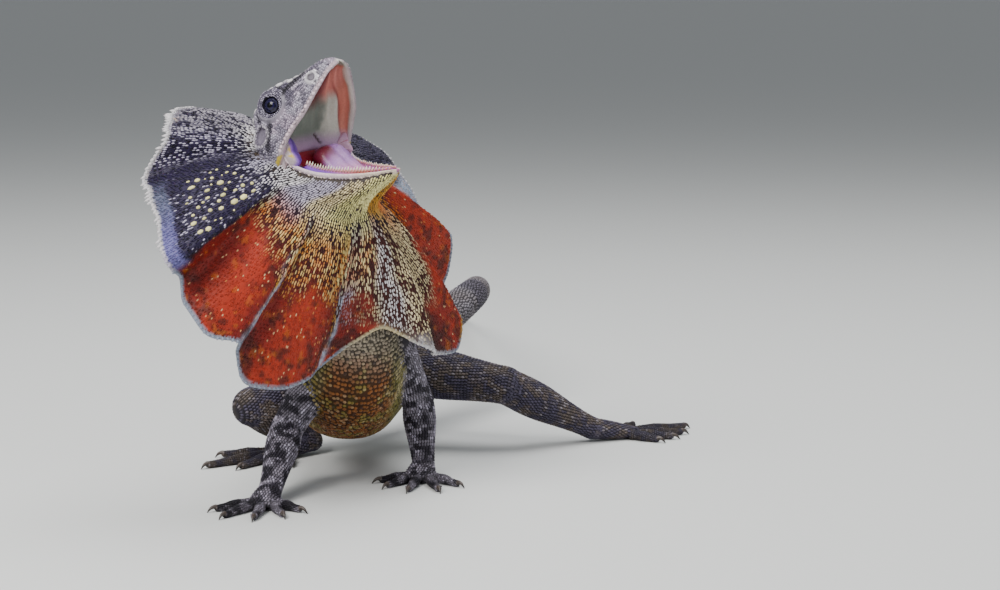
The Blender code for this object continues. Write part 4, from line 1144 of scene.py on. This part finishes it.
def build_tongue():
    """The tongue: a low rounded tube with a groove along it."""
    x = 1.0 + 32.0 * np.sin(np.linspace(0, 1, 70) * math.pi / 2)[:, None]
    half, high, middle = columns_at(TONGUE, x)
    tip = np.sqrt(np.clip(1 - ((x - 29) / 4.1) ** 2, 0.02, 1)) ** (x > 29)
    half, high = (half - 0.1) * tip, (high - 0.1) * tip
    turn = turns_round(48)
    groove = 1 - 0.22 * hill(np.cos(turn), 0, 0.16) * (np.sin(turn) > 0)
    rings = placed(JAW_AXES, x, half * np.cos(turn), middle + high * np.sin(turn) * groove)
    rings += 0.25 * (speckle(rings, 1.1, 65) - 0.5)[..., None] * JAW_UP
    points, faces = capped(rings)
    along, across, _ = measured(JAW_AXES, points)
    tint = layered(
        "8E62A6",
        ("B284B8", blots(points, 3.0, 66)),
        ("C07A98", 0.7 * ease(14, 22, along)),
        ("5A1024", ease(-0.5, -3.5, across) * ease(15, 9, along)),
    )
    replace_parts(make_piece("tongue_flesh", points, faces, LINING, "mouth_lining", tint), "tongue")


def cones(bases, tips, widths, around=8):
    """Many small cones as one mesh: a ring round each base, a narrower one part way and a point."""
    axis = unit(tips - bases)
    first = unit(np.cross(axis, (0.3, 0.5, 0.81)))
    second = np.cross(axis, first)
    turn = turns_round(around)[:, None]
    circle = (first[:, None] * np.cos(turn) + second[:, None] * np.sin(turn)) * widths[:, None, None]
    low = bases[:, None] + circle
    mid = (0.45 * bases + 0.55 * tips)[:, None] + circle * 0.62
    points = np.concatenate((low, mid, tips[:, None], bases[:, None]), 1)
    j = np.arange(around)
    k = (j + 1) % around
    quads = np.stack((j, k, around + k, around + j), 1)
    top = np.stack((around + j, around + k, np.full(around, 2 * around)), 1)
    bottom = np.stack((k, j, np.full(around, 2 * around + 1)), 1)
    step = np.arange(len(bases))[:, None, None] * points.shape[1]
    faces = [(quads + step).reshape(-1, 4), (np.concatenate((top, bottom)) + step).reshape(-1, 3)]
    return points.reshape(-1, 3), faces


def build_teeth():
    """Rows of small peaked teeth along the gum of the lower jaw, lower on the left side."""
    at = np.tile(np.arange(6.5, 38.5, 1.12), 2)
    side = np.repeat((-1.0, 1.0), len(at) // 2)
    half, dip, _ = columns_at(JAW, at)
    inner = 0.86 * np.maximum(half - LIP, half * 0.4)
    tall = 1.0 + (1.15 - 0.35 * side + 0.25 * np.sin(at * 1.7)) * ease(39, 30, at)
    bases = placed(JAW_AXES, at, side * inner, -dip + 0.3)
    tips = placed(JAW_AXES, at + 0.1, side * (inner - 0.05), -dip + tall)
    points, faces = cones(bases, tips, np.full(len(at), 0.56))
    high = measured(JAW_AXES, points)[2] + np.repeat(dip, len(points) // len(at))
    tint = mix("C58A80", "E4D6C2", ease(0.9, 1.7, high))
    make_piece("lower_teeth", points, faces, ENAMEL, "mouth_lining", tint)


def lid_oval(turn, out):
    """How far each ring of the lid is drawn in towards the front and rear of the eye, less further out."""
    return 1 - 0.11 * np.abs(np.cos(turn)) * (1 - out)


def eye_axes(sign, turn):
    """The middle of an eye, the way that it looks, and steps of 1 mm away from that line by turns."""
    way = EYE_WAY * (1, sign, 1)
    first = unit(np.cross(way, (0, 0, 1.0)))
    circle = first * np.cos(turn)[:, None] + np.cross(way, first) * np.sin(turn)[:, None]
    return EYE * (1, sign, 1), way, circle


def build_eyes():
    """Each eye: a ball whose rings of colour are set by the angle from the way it looks, and a raised
    lid round it."""
    count = 56
    turn, polar = turns_round(count), np.linspace(0, math.pi, 40)[:, None]
    for word, sign in (("left", 1), ("right", -1)):
        centre, way, circle = eye_axes(sign, turn)
        angle = polar[..., None]
        bulge = EYE_RADIUS * (1 + 0.035 * ease(0.55, 0.2, angle))
        ball = centre + bulge * (way * np.cos(angle) + circle * np.sin(angle))
        degrees = np.degrees(polar) + 1.6 * np.sin(turn * 9)
        tint = layered(
            "020203",
            ("18123A", ease(14, 18, degrees)),
            ("05040C", ease(24, 28, degrees)),
            ("2C2944", ease(31, 35, degrees)),
            ("050409", ease(38, 43, degrees)),
        )
        points, faces = capped(placed(SKULL_AXES, *np.moveaxis(ball, -1, 0)))
        eye = make_piece(f"eyeball_{word}", points, faces, EYEBALL, "eyes", capped_tint(tint))
        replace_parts(eye, f"eye_{word}")
        out = np.linspace(0, 1, 26)[:, None]
        radius = (LID_INNER + (LID_OUTER - LID_INNER) * out) * lid_oval(turn, out)
        rise = np.interp(out, (0, 0.1, 0.3, 0.55, 0.8, 1.0), (2.75, 3.2, 3.5, 3.1, 2.3, 0.4))
        rise = rise + 0.10 * np.sin(out * 34) + 0.05 * np.sin(turn * 24)
        lid = centre + circle * radius[..., None] + way * rise[..., None]
        under = centre + circle * 3.0 + way * 1.0
        base = centre + circle * 6.6 - way * 4.0
        lid = np.concatenate((under[None], lid, base[None]))
        rings = placed(SKULL_AXES, *np.moveaxis(lid, -1, 0))
        faces = grid_quads(len(rings) + 1, count, True) % (len(rings) * count)
        dark = np.zeros(rings.shape[:2])
        dark[:8] = np.array((1, 1, 1, 1, 0.95, 0.8, 0.5, 0.2))[:, None]
        dark[8:20] = 0.9 * ease(0.90, 0.99, circle @ EYE_CORNER)
        # the lid's skin is painted dark grey: painted shade between its beads and in the bare crease above
        # the eye
        tint = layered("3A3644", ("5C5666", blots(rings, 1.5, 72)), (NIGHT, dark)).reshape(-1, 3)
        make_piece(f"eyelid_{word}", rings, [faces[:, ::-sign]], SKIN, "grey_skin", tint)


def build_claws():
    """Claws: thin tubes that go on from the ends of the fingers and toes and curve down to a point."""
    parts = []
    for _, lines in LIMBS.values():
        for _, centres, girths in lines:
            line, girth = read_digit(centres, girths, np.linspace(3.9, 7, 16))
            line[:, 2] += 0.5 * np.sin(np.linspace(0, math.pi, 16))
            parts.append(capped(tube_rings(line, np.maximum(girth * 0.86, 0.06), 10)))
    points, faces = joined(parts)
    tint = mix("4A3F3A", "1B1614", ease(3.0, 0.3, points[:, 2]))
    make_piece("claws", points, faces, HORN, "grey_skin", tint)


def build_frill():
    """The frill as one closed sheet: front from the lip or root out to the rim, and back again behind."""
    angles = np.linspace(FRILL_FIRST, FRILL_LAST, 640)[:, None]
    reach = reach_at(angles)
    inner, outer = np.linspace(0, 1, 18)[:-1], np.linspace(0, 1, 58)
    throat = -gular_length(angles) * (1 - inner) + JOIN * reach * inner
    rho = np.concatenate((throat, JOIN * reach * (1 - outer) + reach * outer), 1)
    grid = np.broadcast_to(angles, rho.shape)
    front = frill_front(grid, rho)
    lift = np.where(rho > 0, np.interp(rho / reach, *FRONT_LIFT), 0.1)
    front = front - normals_of(front) * lift[..., None]
    back_angles, t = crossed(angles[:, 0], np.linspace(1, -0.12, 46))
    back = membrane(back_angles, t)
    back = back + facing_to(normals_of(back), -FACING) * (np.interp(t, *FRILL_THICKNESS) / 2)[..., None]
    points, faces = capped(np.concatenate((front, back), 1))
    # the back's skin between its scales is painted 0.6 as bright, as painted shade in the gaps
    tints = frill_colour(front, grid, rho), frill_back_colour(back, back_angles, t) * 0.6
    tint = capped_tint(np.concatenate(tints, 1))
    sheet = make_piece("frill_sheet", points, faces, MEMBRANE, "orange_frill", tint)
    right = [f"frill_right_{word}" for word in ("crown", "cheek", "flank", "bib")]
    left = [f"frill_left_{word}" for word in ("bib", "flank", "cheek", "crown")]
    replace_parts(sheet, *right, "frill_middle_bib", *left)


# Scales


def scale_shapes():
    """Two scales, as points forwards, sideways and up from the root, each with its triangles.

    plate is a six-sided mound with a flat bevelled top, and keel a longer one with a ridge that rises
    to its free end."""
    j = np.arange(6)
    k = (j + 1) % 6
    turn = np.radians(j * 60.0)
    ring = np.stack((np.cos(turn), np.sin(turn)), 1) * 0.5
    low, top = np.c_[ring * 1.06, np.full(6, -0.35)], np.c_[ring * 0.74, np.full(6, 0.76)]
    plate = np.concatenate((low, top, ((0.0, 0.0, 1.0),)))
    sides = np.concatenate((np.stack((j, k, 6 + k), 1), np.stack((j, 6 + k, 6 + j), 1)))
    crown = np.stack((6 + j, 6 + k, np.full(6, 12)), 1)
    plate_faces = np.concatenate((sides, crown, ((0, 2, 1), (0, 3, 2), (0, 4, 3), (0, 5, 4))))
    keel = np.array((
        # rim from the root round by the left side, then the ridge
        (-0.5, 0, -0.3), (-0.2, 0.46, -0.3), (0.3, 0.36, 0.1), (0.62, 0, 0.35), (0.3, -0.36, 0.1),
        (-0.2, -0.46, -0.3), (-0.15, 0, 0.7), (0.35, 0, 1.0),
    ))
    keel_faces = np.array((
        # round the ridge, then the underside
        (0, 6, 1), (1, 6, 2), (2, 6, 7), (2, 7, 3), (3, 7, 4), (4, 7, 6), (4, 6, 5), (5, 6, 0),
        (0, 1, 5), (1, 2, 5), (2, 4, 5), (2, 3, 4),
    ))
    return {"plate": (plate, plate_faces), "keel": (keel, keel_faces[:, ::-1])}


SHAPES = scale_shapes()


class Surface:
    """A skin that scales are set on: it gives the nearest point and normal to any point."""

    def __init__(self, points, faces):
        corners = [tuple(int(i) for i in f) for block in faces for f in block]
        self.tree = BVHTree.FromPolygons([tuple(p) for p in points], corners)

    def settle(self, roots, reach):
        """Roots moved onto the skin, its normals there, and which roots were within reach of it."""
        found = [self.tree.find_nearest(Vector(spot)) for spot in roots]
        places = np.array([tuple(hit[0]) for hit in found])
        normals = np.array([tuple(hit[1]) for hit in found])
        return places, normals, np.array([hit[3] for hit in found]) < reach


def varied(size, count, least=0.9, spread=0.2):
    """Lengths, widths and heights of scales that differ a little from the given size."""
    return np.asarray(size) * (least + spread * rng.random((count, 3)))


def on_map(corner, along, turn):
    """Places on the unwrapped skin, in a patch given by its corner and its two sizes."""
    return np.stack((corner[0] + along * corner[2], corner[1] + turn / (2 * math.pi) * corner[3]), 1)


def kept(keep, shape, *values):
    """A batch of those scales that are kept."""
    return *(value[keep] for value in values), shape


def coat(name, batches, slot):
    """Scales of several batches as one piece."""
    parts, all_tints, all_maps = [], [], []
    for roots, normals, lies, sizes, tints, places, shape in batches:
        pattern, faces = SHAPES[shape]
        across = unit(np.cross(normals, lies))
        along = np.cross(across, normals)
        points = roots[:, None]
        for i, axis in enumerate((along, across, normals)):
            points = points + axis[:, None] * (sizes[:, None, i] * pattern[:, i])[..., None]
        step = (np.arange(len(roots)) * len(pattern))[:, None, None]
        parts.append((points.reshape(-1, 3), [(faces + step).reshape(-1, 3)]))
        # painted shade: the points of each scale below its root, round its base and underside, are painted
        # 0.45 as bright
        shade = np.where(pattern[:, 2] < 0, 0.45, 1.0)
        all_tints.append((tints[:, None] * shade[:, None]).reshape(-1, 3))
        all_maps.append((places[:, None] + MAP_PATCH * pattern[:, :2]).reshape(-1, 2))
    points, faces = joined(parts)
    points[:, 2] = np.maximum(points[:, 2], 0.0)
    piece = make_piece(name, points, faces, SCALE, slot, np.concatenate(all_tints))
    layer = piece.data.uv_layers.new(name="OFBake")
    loops = np.empty(len(piece.data.loops), np.int32)
    piece.data.loops.foreach_get("vertex_index", loops)
    layer.data.foreach_set("uv", np.concatenate(all_maps)[loops].astype(np.float32).ravel())


def rows_on(surface, values, widths, fine, margin=0.0):
    """Places for scales on a surface given as a function of (row value, turn): along each row one width
    apart, every other row shifted by half a width, and a margin left bare at both ends of the turns."""
    rows, turns = [], []
    for number, (value, width) in enumerate(zip(values, np.broadcast_to(widths, len(values)))):
        arc = path_length(surface(np.full(len(fine), value), fine))
        free = arc[-1] - 2 * margin
        count = max(4, int(round(free / width)))
        marks = margin + (np.arange(count) + 0.5 * (number % 2)) * free / count
        turns.append(np.interp(marks, arc, fine))
        rows.append(np.full(count, value))
    return np.concatenate(rows), np.concatenate(turns)


FULL_TURN = np.linspace(0, 2 * math.pi, 97)
WHOLE_MAP = (0.02, 0.02, 0.96, 0.96)


def trunk_batch(skin, first, last, pitch, width, height, shape):
    """Scales over part of the trunk, lying back towards the tail. width is a table of rows and widths."""
    fine = np.linspace(first, last, 200)
    lengths = path_length(trunk_read(TRUNK_CENTRES, fine))
    values = np.interp(np.arange(0, lengths[-1], pitch), lengths, fine)
    row, turn = rows_on(trunk_point, values, np.interp(values, *width), FULL_TURN)
    row = np.clip(row + 0.012 * rng.standard_normal(len(row)), first, last)
    turn = turn + 0.012 * rng.standard_normal(len(row))
    spots = trunk_point(row, turn)
    lies = unit(trunk_point(np.clip(row - 0.02, 0, NECK_TOP), turn) - spots + 1e-9)
    places, normals, near = skin.settle(spots, 1.6)
    chance = rng.random(len(row))
    wide, tall = np.interp(row, *width), np.full(len(row), height)
    flat = shape == "plate"
    long = wide * 1.1 if flat else np.full(len(row), pitch * 1.22)
    sizes = varied(np.stack((long, wide * 1.1 if flat else wide, tall), 1), len(row))
    uv = on_map(WHOLE_MAP, (row - first) / (last - first), turn)
    return kept(near, shape, places, normals, lies, sizes, trunk_colour(spots, row, turn, chance), uv)


def settled_keels(skin, spots, reach, lowest, way, size, hind, uv):
    """Keeled scales of a limb at given spots, lying one way, but none under the sole."""
    places, normals, near = skin.settle(spots, reach)
    chance = rng.random(len(spots))
    sizes = varied(size, len(spots))
    near &= places[:, 2] > lowest
    lies = np.broadcast_to(way, spots.shape)
    return kept(near, "keel", places, normals, lies, sizes, limb_colour(spots, hind, chance), uv)


def tube_batch(skin, tube, pitch, hind, corner):
    """Scales over one length of a limb, lying towards the foot."""
    start, axis, span, side, up, girths = tube

    def point(along, turn):
        half, deep = columns_at(girths, along / span) - COAT
        dome = np.sqrt(np.clip(1 - (np.clip(along - span, 0, None) / deep) ** 2, 0.01, 1))
        return round_at(start + axis * along[..., None], side, up, half * dome, deep * dome, turn)

    width = pitch * 0.95
    last = span + 0.92 * (girths[-1][1] - COAT)
    along, turn = rows_on(point, np.arange(0, last, pitch), width, FULL_TURN)
    size, uv = (pitch * 1.25, width * 1.06, 0.36), on_map(corner, along / last, turn)
    return settled_keels(skin, point(along, turn), 1.7, 0.25, axis, size, hind, uv)


def digit_batch(skin, digit, hind, corner):
    """Small scales over a finger or toe, lying towards its claw."""
    way, centres, girths = digit
    side = unit(np.cross(way, (0, 0, 1.0)))
    span = np.linalg.norm(centres[4] - centres[0])
    up = np.cross(side, (centres[4] - centres[0]) / span)

    def point(at, turn):
        line, girth = read_digit(centres, girths, at)
        return round_at(line, side, up, girth - DIGIT_COAT, girth - DIGIT_COAT, turn)

    at, turn = rows_on(point, np.interp(np.arange(0, span, 0.95), (0, span), (0.2, 4.3)), 0.9, FULL_TURN)
    uv = on_map(corner, at / 5, turn)
    return settled_keels(skin, point(at, turn), 0.8, 0.2, way, (1.2, 0.98, 0.28), hind, uv)


def skull_batches(skin):
    """Scales over the head: small ones in rows, plates along the lip, larger ones on brow and snout."""
    spacing = 0.92
    values, fine = np.arange(-16.1, 36.4, spacing), np.linspace(0.0, math.pi, 121)
    row, turn = rows_on(skull_point_at, values, spacing, fine, 1.5)
    spots = skull_point_at(row, turn)
    spots = spots + 0.12 * rng.standard_normal(spots.shape)
    places, normals, near = skin.settle(spots, 5.0)
    near &= (np.linalg.norm(places - spots, axis=1) < 1.0) | (row < -11.9)
    x, y, z = measured(SKULL_AXES, places)
    away = np.stack((x, np.abs(y), z), 1) - EYE
    keep = near & ~((off_gaze(away) < 6.9) & (np.linalg.norm(away, axis=1) < 8.6))
    keep &= (distance(x, y, z, NOSTRIL, 0.8) > 2.9) & (distance(x, y, z, EAR) > EAR_RADIUS)
    backwards = np.broadcast_to(-SKULL_FORWARD, spots.shape)
    chance = rng.random(len(row))
    grow = 1 + 0.35 * ease(17, 21, z) * ease(26, 18, x) + 0.2 * ease(0, -8, x)
    sizes = varied((1.08, 1.0, 0.3), len(row), 0.85, 0.3) * grow[:, None]
    uv = on_map((0.02, 0.02, 0.46, 1.2), (row + 17) / 56, turn)
    base = kept(keep, "plate", places, normals, backwards, sizes, skull_colour(places, chance), uv)

    def plates(at, high, size, tint, corner):
        """A row of plates on both sides, at distances along the skull and shares of its crown's height."""
        at, high = np.tile(at, 2), np.tile(np.broadcast_to(high, len(at)), 2)
        side = np.repeat((1.0, -1.0), len(at) // 2)
        angle = np.arcsin(high ** (SQUARENESS / 2))
        spots = skull_point_at(at, np.where(side > 0, angle, math.pi - angle), 0.0)
        places, normals, _ = skin.settle(spots, 2.5)
        tints = (skull_colour(places) if tint is None else tint) * (0.8 + 0.3 * rng.random(len(at)))[:, None]
        sizes = varied(size, len(at))
        sizes[:, :2] *= (0.55 + 0.45 * ease(37, 29, at))[:, None]
        uv = np.stack((corner + at / 200, 0.3 + 0.1 * side), 1)
        return places, normals, backwards[: len(at)], sizes, tints, uv, "plate"

    brow = np.array((3.6, 6.8, 10.2, 13.6, 17.0, 20.2, 23.4))
    upper = np.interp(brow, (3, 10, 24), (0.92, 0.955, 0.94))
    lower = np.interp(brow, (3, 10, 24), (0.84, 0.91, 0.86))
    snout = np.arange(24.0, 35.0, 2.1)
    return [
        base,
        plates(np.arange(1.5, 36.2, 1.7), 0.05, (1.75, 1.6, 0.32), None, 0.55),
        plates(brow, lower, (3.4, 2.8, 0.8), WHITE * 0.75, 0.8),
        plates(brow + 1.5, upper, (3.0, 2.6, 0.6), WHITE * 0.6, 0.8),
        plates(snout, 0.97, (2.1, 1.9, 0.5), WHITE * 0.5, 0.9),
        plates(snout - 1.0, 0.86, (1.9, 1.8, 0.45), None, 0.9),
    ]


LID_RINGS = (  # distance from the eye's line, height and number of the beads
    (4.1, 3.4, 32),
    (4.7, 3.5, 35),
    (5.35, 3.1, 38),
    (6.0, 2.5, 41),
    (6.6, 1.7, 44),
)


def lid_batches():
    """Rings of beads round each eye, on the lid, with a bare crease above it, where the lid's dark skin
    shows as painted shade.
    """
    batches = []
    for sign in (1, -1):
        for number, (radius, rise, count) in enumerate(LID_RINGS):
            turn = (np.arange(count) + 0.5 * (number % 2) + 0.3 * rng.random(count)) * 2 * math.pi / count
            centre, way, circle = eye_axes(sign, turn)
            shrink = lid_oval(turn, (radius - LID_INNER) / (LID_OUTER - LID_INNER))[:, None]
            out = (radius + 0.1 * rng.standard_normal(count))[:, None]
            spots = placed(SKULL_AXES, *(centre + circle * out * shrink + way * (rise + 0.06)).T)
            normals = unit(way + circle * (radius - 3.9) * 0.28) @ SKULL_AXES
            lies = np.cross(circle, way) @ SKULL_AXES
            sizes = varied((0.84, 0.68, 0.36), count, 0.8, 0.35) * (1 + 0.04 * number)
            pale = mix("6C6676", LAVENDER * 0.8, rng.random(count))
            dark = (rng.random(count) < (0.3 if number == 0 else 0.12)) | (circle @ EYE_CORNER > 0.965)
            tints = mix(pale, SLATE, 0.8 * dark)
            uv = np.stack((np.full(count, 0.75 + 0.02 * number), 0.5 + 0.2 * (sign > 0) + turn / 40), 1)
            # no beads between 4.9 and 6.5 mm on the upper side, so the lid's dark skin shows there as
            # painted shade in a crease
            keep = (radius < 4.9) | (circle[:, 2] < 0.45) | (radius > 6.5)
            batches.append(kept(keep, "plate", spots, normals, lies, sizes, tints, uv))
    return batches


def lip_beads():
    """Flat pale plates along the lower lip, a good part of them dark."""
    at = np.arange(1.5, 39.6, 1.25)
    side, at = np.repeat((-1.0, 1.0), len(at)), np.tile(at, 2)
    half, dip, _ = columns_at(JAW, at)
    spots = placed(JAW_AXES, at, side * (half - 0.3), -dip - 1.95 + 0.9 * ease(28, 39, at))
    normals = unit(side[:, None] * HEAD_LEFT - JAW_UP * 0.1 + JAW_FORWARD * ease(34, 39, at)[:, None])
    chance = rng.random(len(at))
    tints = layered("D6C2CA", ("E0CFC0", chance), (NIGHT * 2, 0.8 * (chance < 0.45)))
    sizes = varied((1.15, 0.75, 0.2), len(at), 0.8, 0.3)
    uv = np.stack((0.52 + at / 40 * 0.2, 0.6 + 0.1 * side), 1)
    return spots, normals, np.broadcast_to(JAW_FORWARD, spots.shape), sizes, tints, uv, "plate"


def frill_rows(front, pitch, width):
    """Places for scales on the frill: rows at even distances from the root, even steps along each."""
    angles = np.linspace(FRILL_FIRST + 0.6, FRILL_LAST - 0.6, 2400)
    reach = reach_at(angles)
    start = -gular_length(angles) + 0.8 if front else 1.5
    found_angle, found_rho = [], []
    for number, rho in enumerate(np.arange(-62.0, reach.max(), pitch)):
        inside = (rho > start) & (rho < reach - 1.2)
        if inside.sum() < 4:
            continue
        at = frill_front(angles, rho) if front else membrane(angles, rho / reach)
        step = np.where(inside[1:] & inside[:-1], np.linalg.norm(np.diff(at, axis=0), axis=1), 0)
        arc = np.concatenate(([0], np.cumsum(step)))
        marks = np.arange(0.25 + 0.5 * (number % 2), arc[-1] / width - 0.2) * width
        found_angle.append(np.interp(marks, arc + np.arange(len(arc)) * 1e-7, angles))
        found_rho.append(np.full(len(marks), rho))
    angle, rho = np.concatenate(found_angle), np.concatenate(found_rho)
    angle = angle + 0.12 * rng.standard_normal(len(angle))
    rho = rho + 0.15 * pitch * rng.standard_normal(len(rho))
    return np.clip(angle, FRILL_FIRST + 0.3, FRILL_LAST - 0.3), rho


def front_frame(angle, rho):
    """Roots on the frill's front, with its normals there and the way out along the ribs."""
    spots = frill_front(angle, rho)
    ahead, beside = frill_front(angle, rho + 0.4) - spots, frill_front(angle + 0.4, rho) - spots
    normals = unit(np.cross(ahead, beside))
    lift = np.interp(rho / reach_at(angle), *FRONT_LIFT)
    return spots + normals * lift[:, None], normals, unit(ahead)


def frill_uv(angle, rho):
    return np.stack((0.02 + (angle + 90) / 360 * 0.96, 0.02 + np.clip((rho + 63) / 148, 0, 1) * 0.94), 1)


def spot_batch():
    """The right cheek's large round straw-coloured scales."""
    angle, rho, radius = SPOTS.T
    count = len(angle)
    long, wide = rng.uniform(1.8, 2.8, count), rng.uniform(1.2, 1.9, count)
    sizes = np.stack((long * radius, wide * radius, 0.3 + 0.1 * radius), 1)
    tints = STRAW * (0.75 + 0.3 * rng.random(count))[:, None]
    return *front_frame(angle, rho), sizes, tints, frill_uv(angle, rho), "plate"


def frill_front_batch():
    """Keeled scales in rows on the frill's front, long at the throat and small on the orange membrane."""
    angle, rho = frill_rows(True, 1.42, 0.94)
    count, t = len(angle), rho / reach_at(angle)
    chance = rng.random(count)
    spots, normals, lies = front_frame(angle, rho)
    fresh = 1 - dash_share(spots, angle, t)
    gold = (chance > 0.6) * ease(21, 24, angle) * ease(104, 96, angle) * ease(0.15, 0.3, t) * (1 - fresh)
    sizes = np.stack((1.5 - 0.25 * fresh + 0.9 * gold, 0.86 - 0.1 * fresh, 0.4 - 0.18 * fresh), 1)
    sizes = varied(sizes, count, 0.85, 0.3)
    keep = (rng.random(count) > 0.15 * fresh) & (spotted(angle, rho) < 0.5)
    tints = frill_colour(spots, angle, rho, chance)
    return kept(keep, "keel", spots, normals, lies, sizes, tints, frill_uv(angle, rho))


def frill_back_batch(skin):
    """Larger keeled scales in rows on the frill's back, where it lies outside the neck's skin."""
    pitch, width = 2.1, 1.75
    angle, rho = frill_rows(False, pitch, width)
    count, t = len(angle), rho / reach_at(angle)
    chance = rng.random(count)
    spots = membrane(angle, t)
    ahead, beside = membrane(angle, t + 0.01) - spots, membrane(angle + 0.4, t) - spots
    normals = facing_to(unit(np.cross(beside, ahead)), -FACING)
    spots = spots + normals * (np.interp(t, *FRILL_THICKNESS) / 2)[:, None]
    tints = frill_back_colour(spots, angle, t) * (0.75 + 0.5 * chance)[:, None]
    sizes = varied((pitch * 1.12, width * 0.92, 0.4), count, 0.85, 0.3)
    places, outwards, _ = skin.settle(spots, 1.0)
    keep = np.sum((spots - places) * outwards, 1) > -0.2
    return kept(keep, "keel", spots, normals, unit(ahead), sizes, tints, frill_uv(angle, rho))


# Heights of the rim's spines at angles round the frill: tall on crown and cheeks, low under the chin
SPINE_HEIGHTS = ((-86, -20, 18, 24, 60, 120, 150, 165, 266), (2.6, 2.7, 1.6, 0.7, 0.6, 0.6, 1.0, 2.6, 2.6))


def build_rim():
    """Pointed scales round the frill's edge, pale at their tips."""
    angles = np.linspace(FRILL_FIRST + 0.5, FRILL_LAST - 0.5, 3000)
    arc = path_length(membrane(angles, 1.0))
    angle = np.interp(np.arange(1.0, arc[-1], 1.9), arc, angles)
    tall = np.interp(angle, *SPINE_HEIGHTS) * (0.15 + 0.95 * rng.random(len(angle)) ** 1.5)
    root = membrane(angle, 1 - 0.9 / reach_at(angle))
    way = unit(membrane(angle, 1.0) - membrane(angle, 0.95))
    points, faces = cones(root, root + way * (0.9 + tall)[:, None], np.full(len(angle), 0.85), 6)
    height = np.concatenate((np.zeros(6), np.full(6, 0.6), (1.0, 0.0)))  # of each point of one spine
    rim = np.repeat(band_tones(angle)[3], len(height), 0)
    tint = mix(rim * 0.6, rim, np.tile(height, len(angle)))
    make_piece("frill_rim_spines", points, faces, SCALE, "dark_frill", tint)


CHEST_WIDTH = ((9, 11, 14, 16, 18), (1.35, 1.5, 1.55, 1.45, 1.3))


def coat_trunk(skin):
    """The scales of tail, torso and neck."""
    shoulder = NECK_BASE + 0.2
    for name, slot, *numbers in (
        ("tail", "grey_skin", 0.05, TAIL_BASE, 1.85, ((0,), (1.55,)), 0.42, "keel"),
        ("torso", "chest_skin", TAIL_BASE, shoulder, 1.3, CHEST_WIDTH, 0.36, "plate"),
        ("neck", "grey_skin", shoulder, NECK_TOP, 1.45, ((0,), (1.4,)), 0.38, "keel"),
    ):
        coat(f"{name}_scales", [trunk_batch(skin, *numbers)], slot)


def coat_limbs(skin):
    for name, (tubes, lines) in LIMBS.items():
        hind = name.startswith("leg")
        pitch = 1.45 if hind else 1.25
        batches = [
            tube_batch(skin, tube, pitch, hind, (0.02, 0.02 + 0.22 * i, 0.6, 0.2))
            for i, (_, tube) in enumerate(tubes)
        ]
        for i, line in enumerate(lines):
            batches.append(digit_batch(skin, line, hind, (0.02 + 0.19 * i, 0.72, 0.17, 0.2)))
        coat(f"{name}_scales", batches, "grey_skin")


def coat_frill(skin):
    """The frill's front in three pieces, parted by the angle that the map gives, then its back."""
    front = frill_front_batch()
    angle = front[5][:, 0] * 375 - 97.5
    for name, low, high in (("right", -99, 47), ("middle", 47, 100), ("left", 100, 300)):
        part = kept((angle >= low) & (angle < high), "keel", *front[:6])
        coat(f"frill_{name}_scales", [part, spot_batch()] if name == "right" else [part], "orange_frill")
    coat("frill_back_scales", [frill_back_batch(skin)], "dark_frill")


# The animal

body_shape = build_body_skin()
skull_shape = build_skull_skin()
build_jaw_skin()
build_frill()
build_gape()
build_tongue()
build_teeth()
build_eyes()
build_claws()

body = Surface(*body_shape)
coat_trunk(body)
coat_limbs(body)
coat("head_scales", skull_batches(Surface(*skull_shape)) + lid_batches() + [lip_beads()], "grey_skin")
coat_frill(body)
build_rim()


# Floor, light and camera

FLOOR_REACH = 60000.0
CAMERA_PLACE, CAMERA_DIP, LENS = (0.0, -900.0, 200.0), 7.45, 84.24
LAMP_AIM = (-50.0, 20.0, 90.0)
LAMPS = (
    # name, place, size in metres, watts, colour
    ("key_lamp", (-600, -700, 1000), 0.7, 24.0, (1.0, 0.98, 0.95)),
    ("fill_lamp", (900, -800, 500), 1.0, 5.0, (0.92, 0.96, 1.0)),
    ("top_lamp", (100, 300, 1200), 1.0, 14.0, (1.0, 1.0, 1.0)),
)


def in_frame(place):
    return Vector((np.array(place) - ORIGIN) * MM)


def build_stage():
    """A plain pale floor, soft lamps and a camera that looks along +Y from 900 mm in front, a little
    downwards."""
    corners = np.array(((-1, -1, 0), (1, -1, 0), (1, 1, 0), (-1, 1, 0))) * FLOOR_REACH + ORIGIN
    plain = bpy.data.materials.new("plain_floor")
    plain.use_nodes = True
    shader = plain.node_tree.nodes["Principled BSDF"]
    shader.inputs["Base Color"].default_value = (0.62, 0.63, 0.62, 1.0)
    shader.inputs["Roughness"].default_value = 0.85
    floor = make_piece("floor", corners, [np.array(((0, 1, 2, 3),))], plain)
    for name, place, size, watts, colour in LAMPS:
        lamp = bpy.data.lights.new(name, "AREA")
        lamp.energy, lamp.size, lamp.color = watts, size, colour
        holder = bpy.data.objects.new(name, lamp)
        holder.location = in_frame(place)
        holder.rotation_euler = (in_frame(LAMP_AIM) - holder.location).to_track_quat("-Z", "Y").to_euler()
        bpy.context.scene.collection.objects.link(holder)
    world = bpy.data.worlds.new("soft_room")
    world.use_nodes = True
    world.node_tree.nodes["Background"].inputs["Color"].default_value = (0.82, 0.86, 0.90, 1.0)
    world.node_tree.nodes["Background"].inputs["Strength"].default_value = 0.36
    bpy.context.scene.world = world
    lens = bpy.data.cameras.new("camera")
    lens.sensor_width, lens.lens = 36.0, LENS
    lens.clip_start, lens.clip_end = 0.01, 200.0
    camera = bpy.data.objects.new("camera", lens)
    camera.location = in_frame(CAMERA_PLACE)
    camera.rotation_euler = (math.radians(90 - CAMERA_DIP), 0, 0)
    bpy.context.scene.collection.objects.link(camera)
    bpy.context.scene.camera = camera


build_stage()
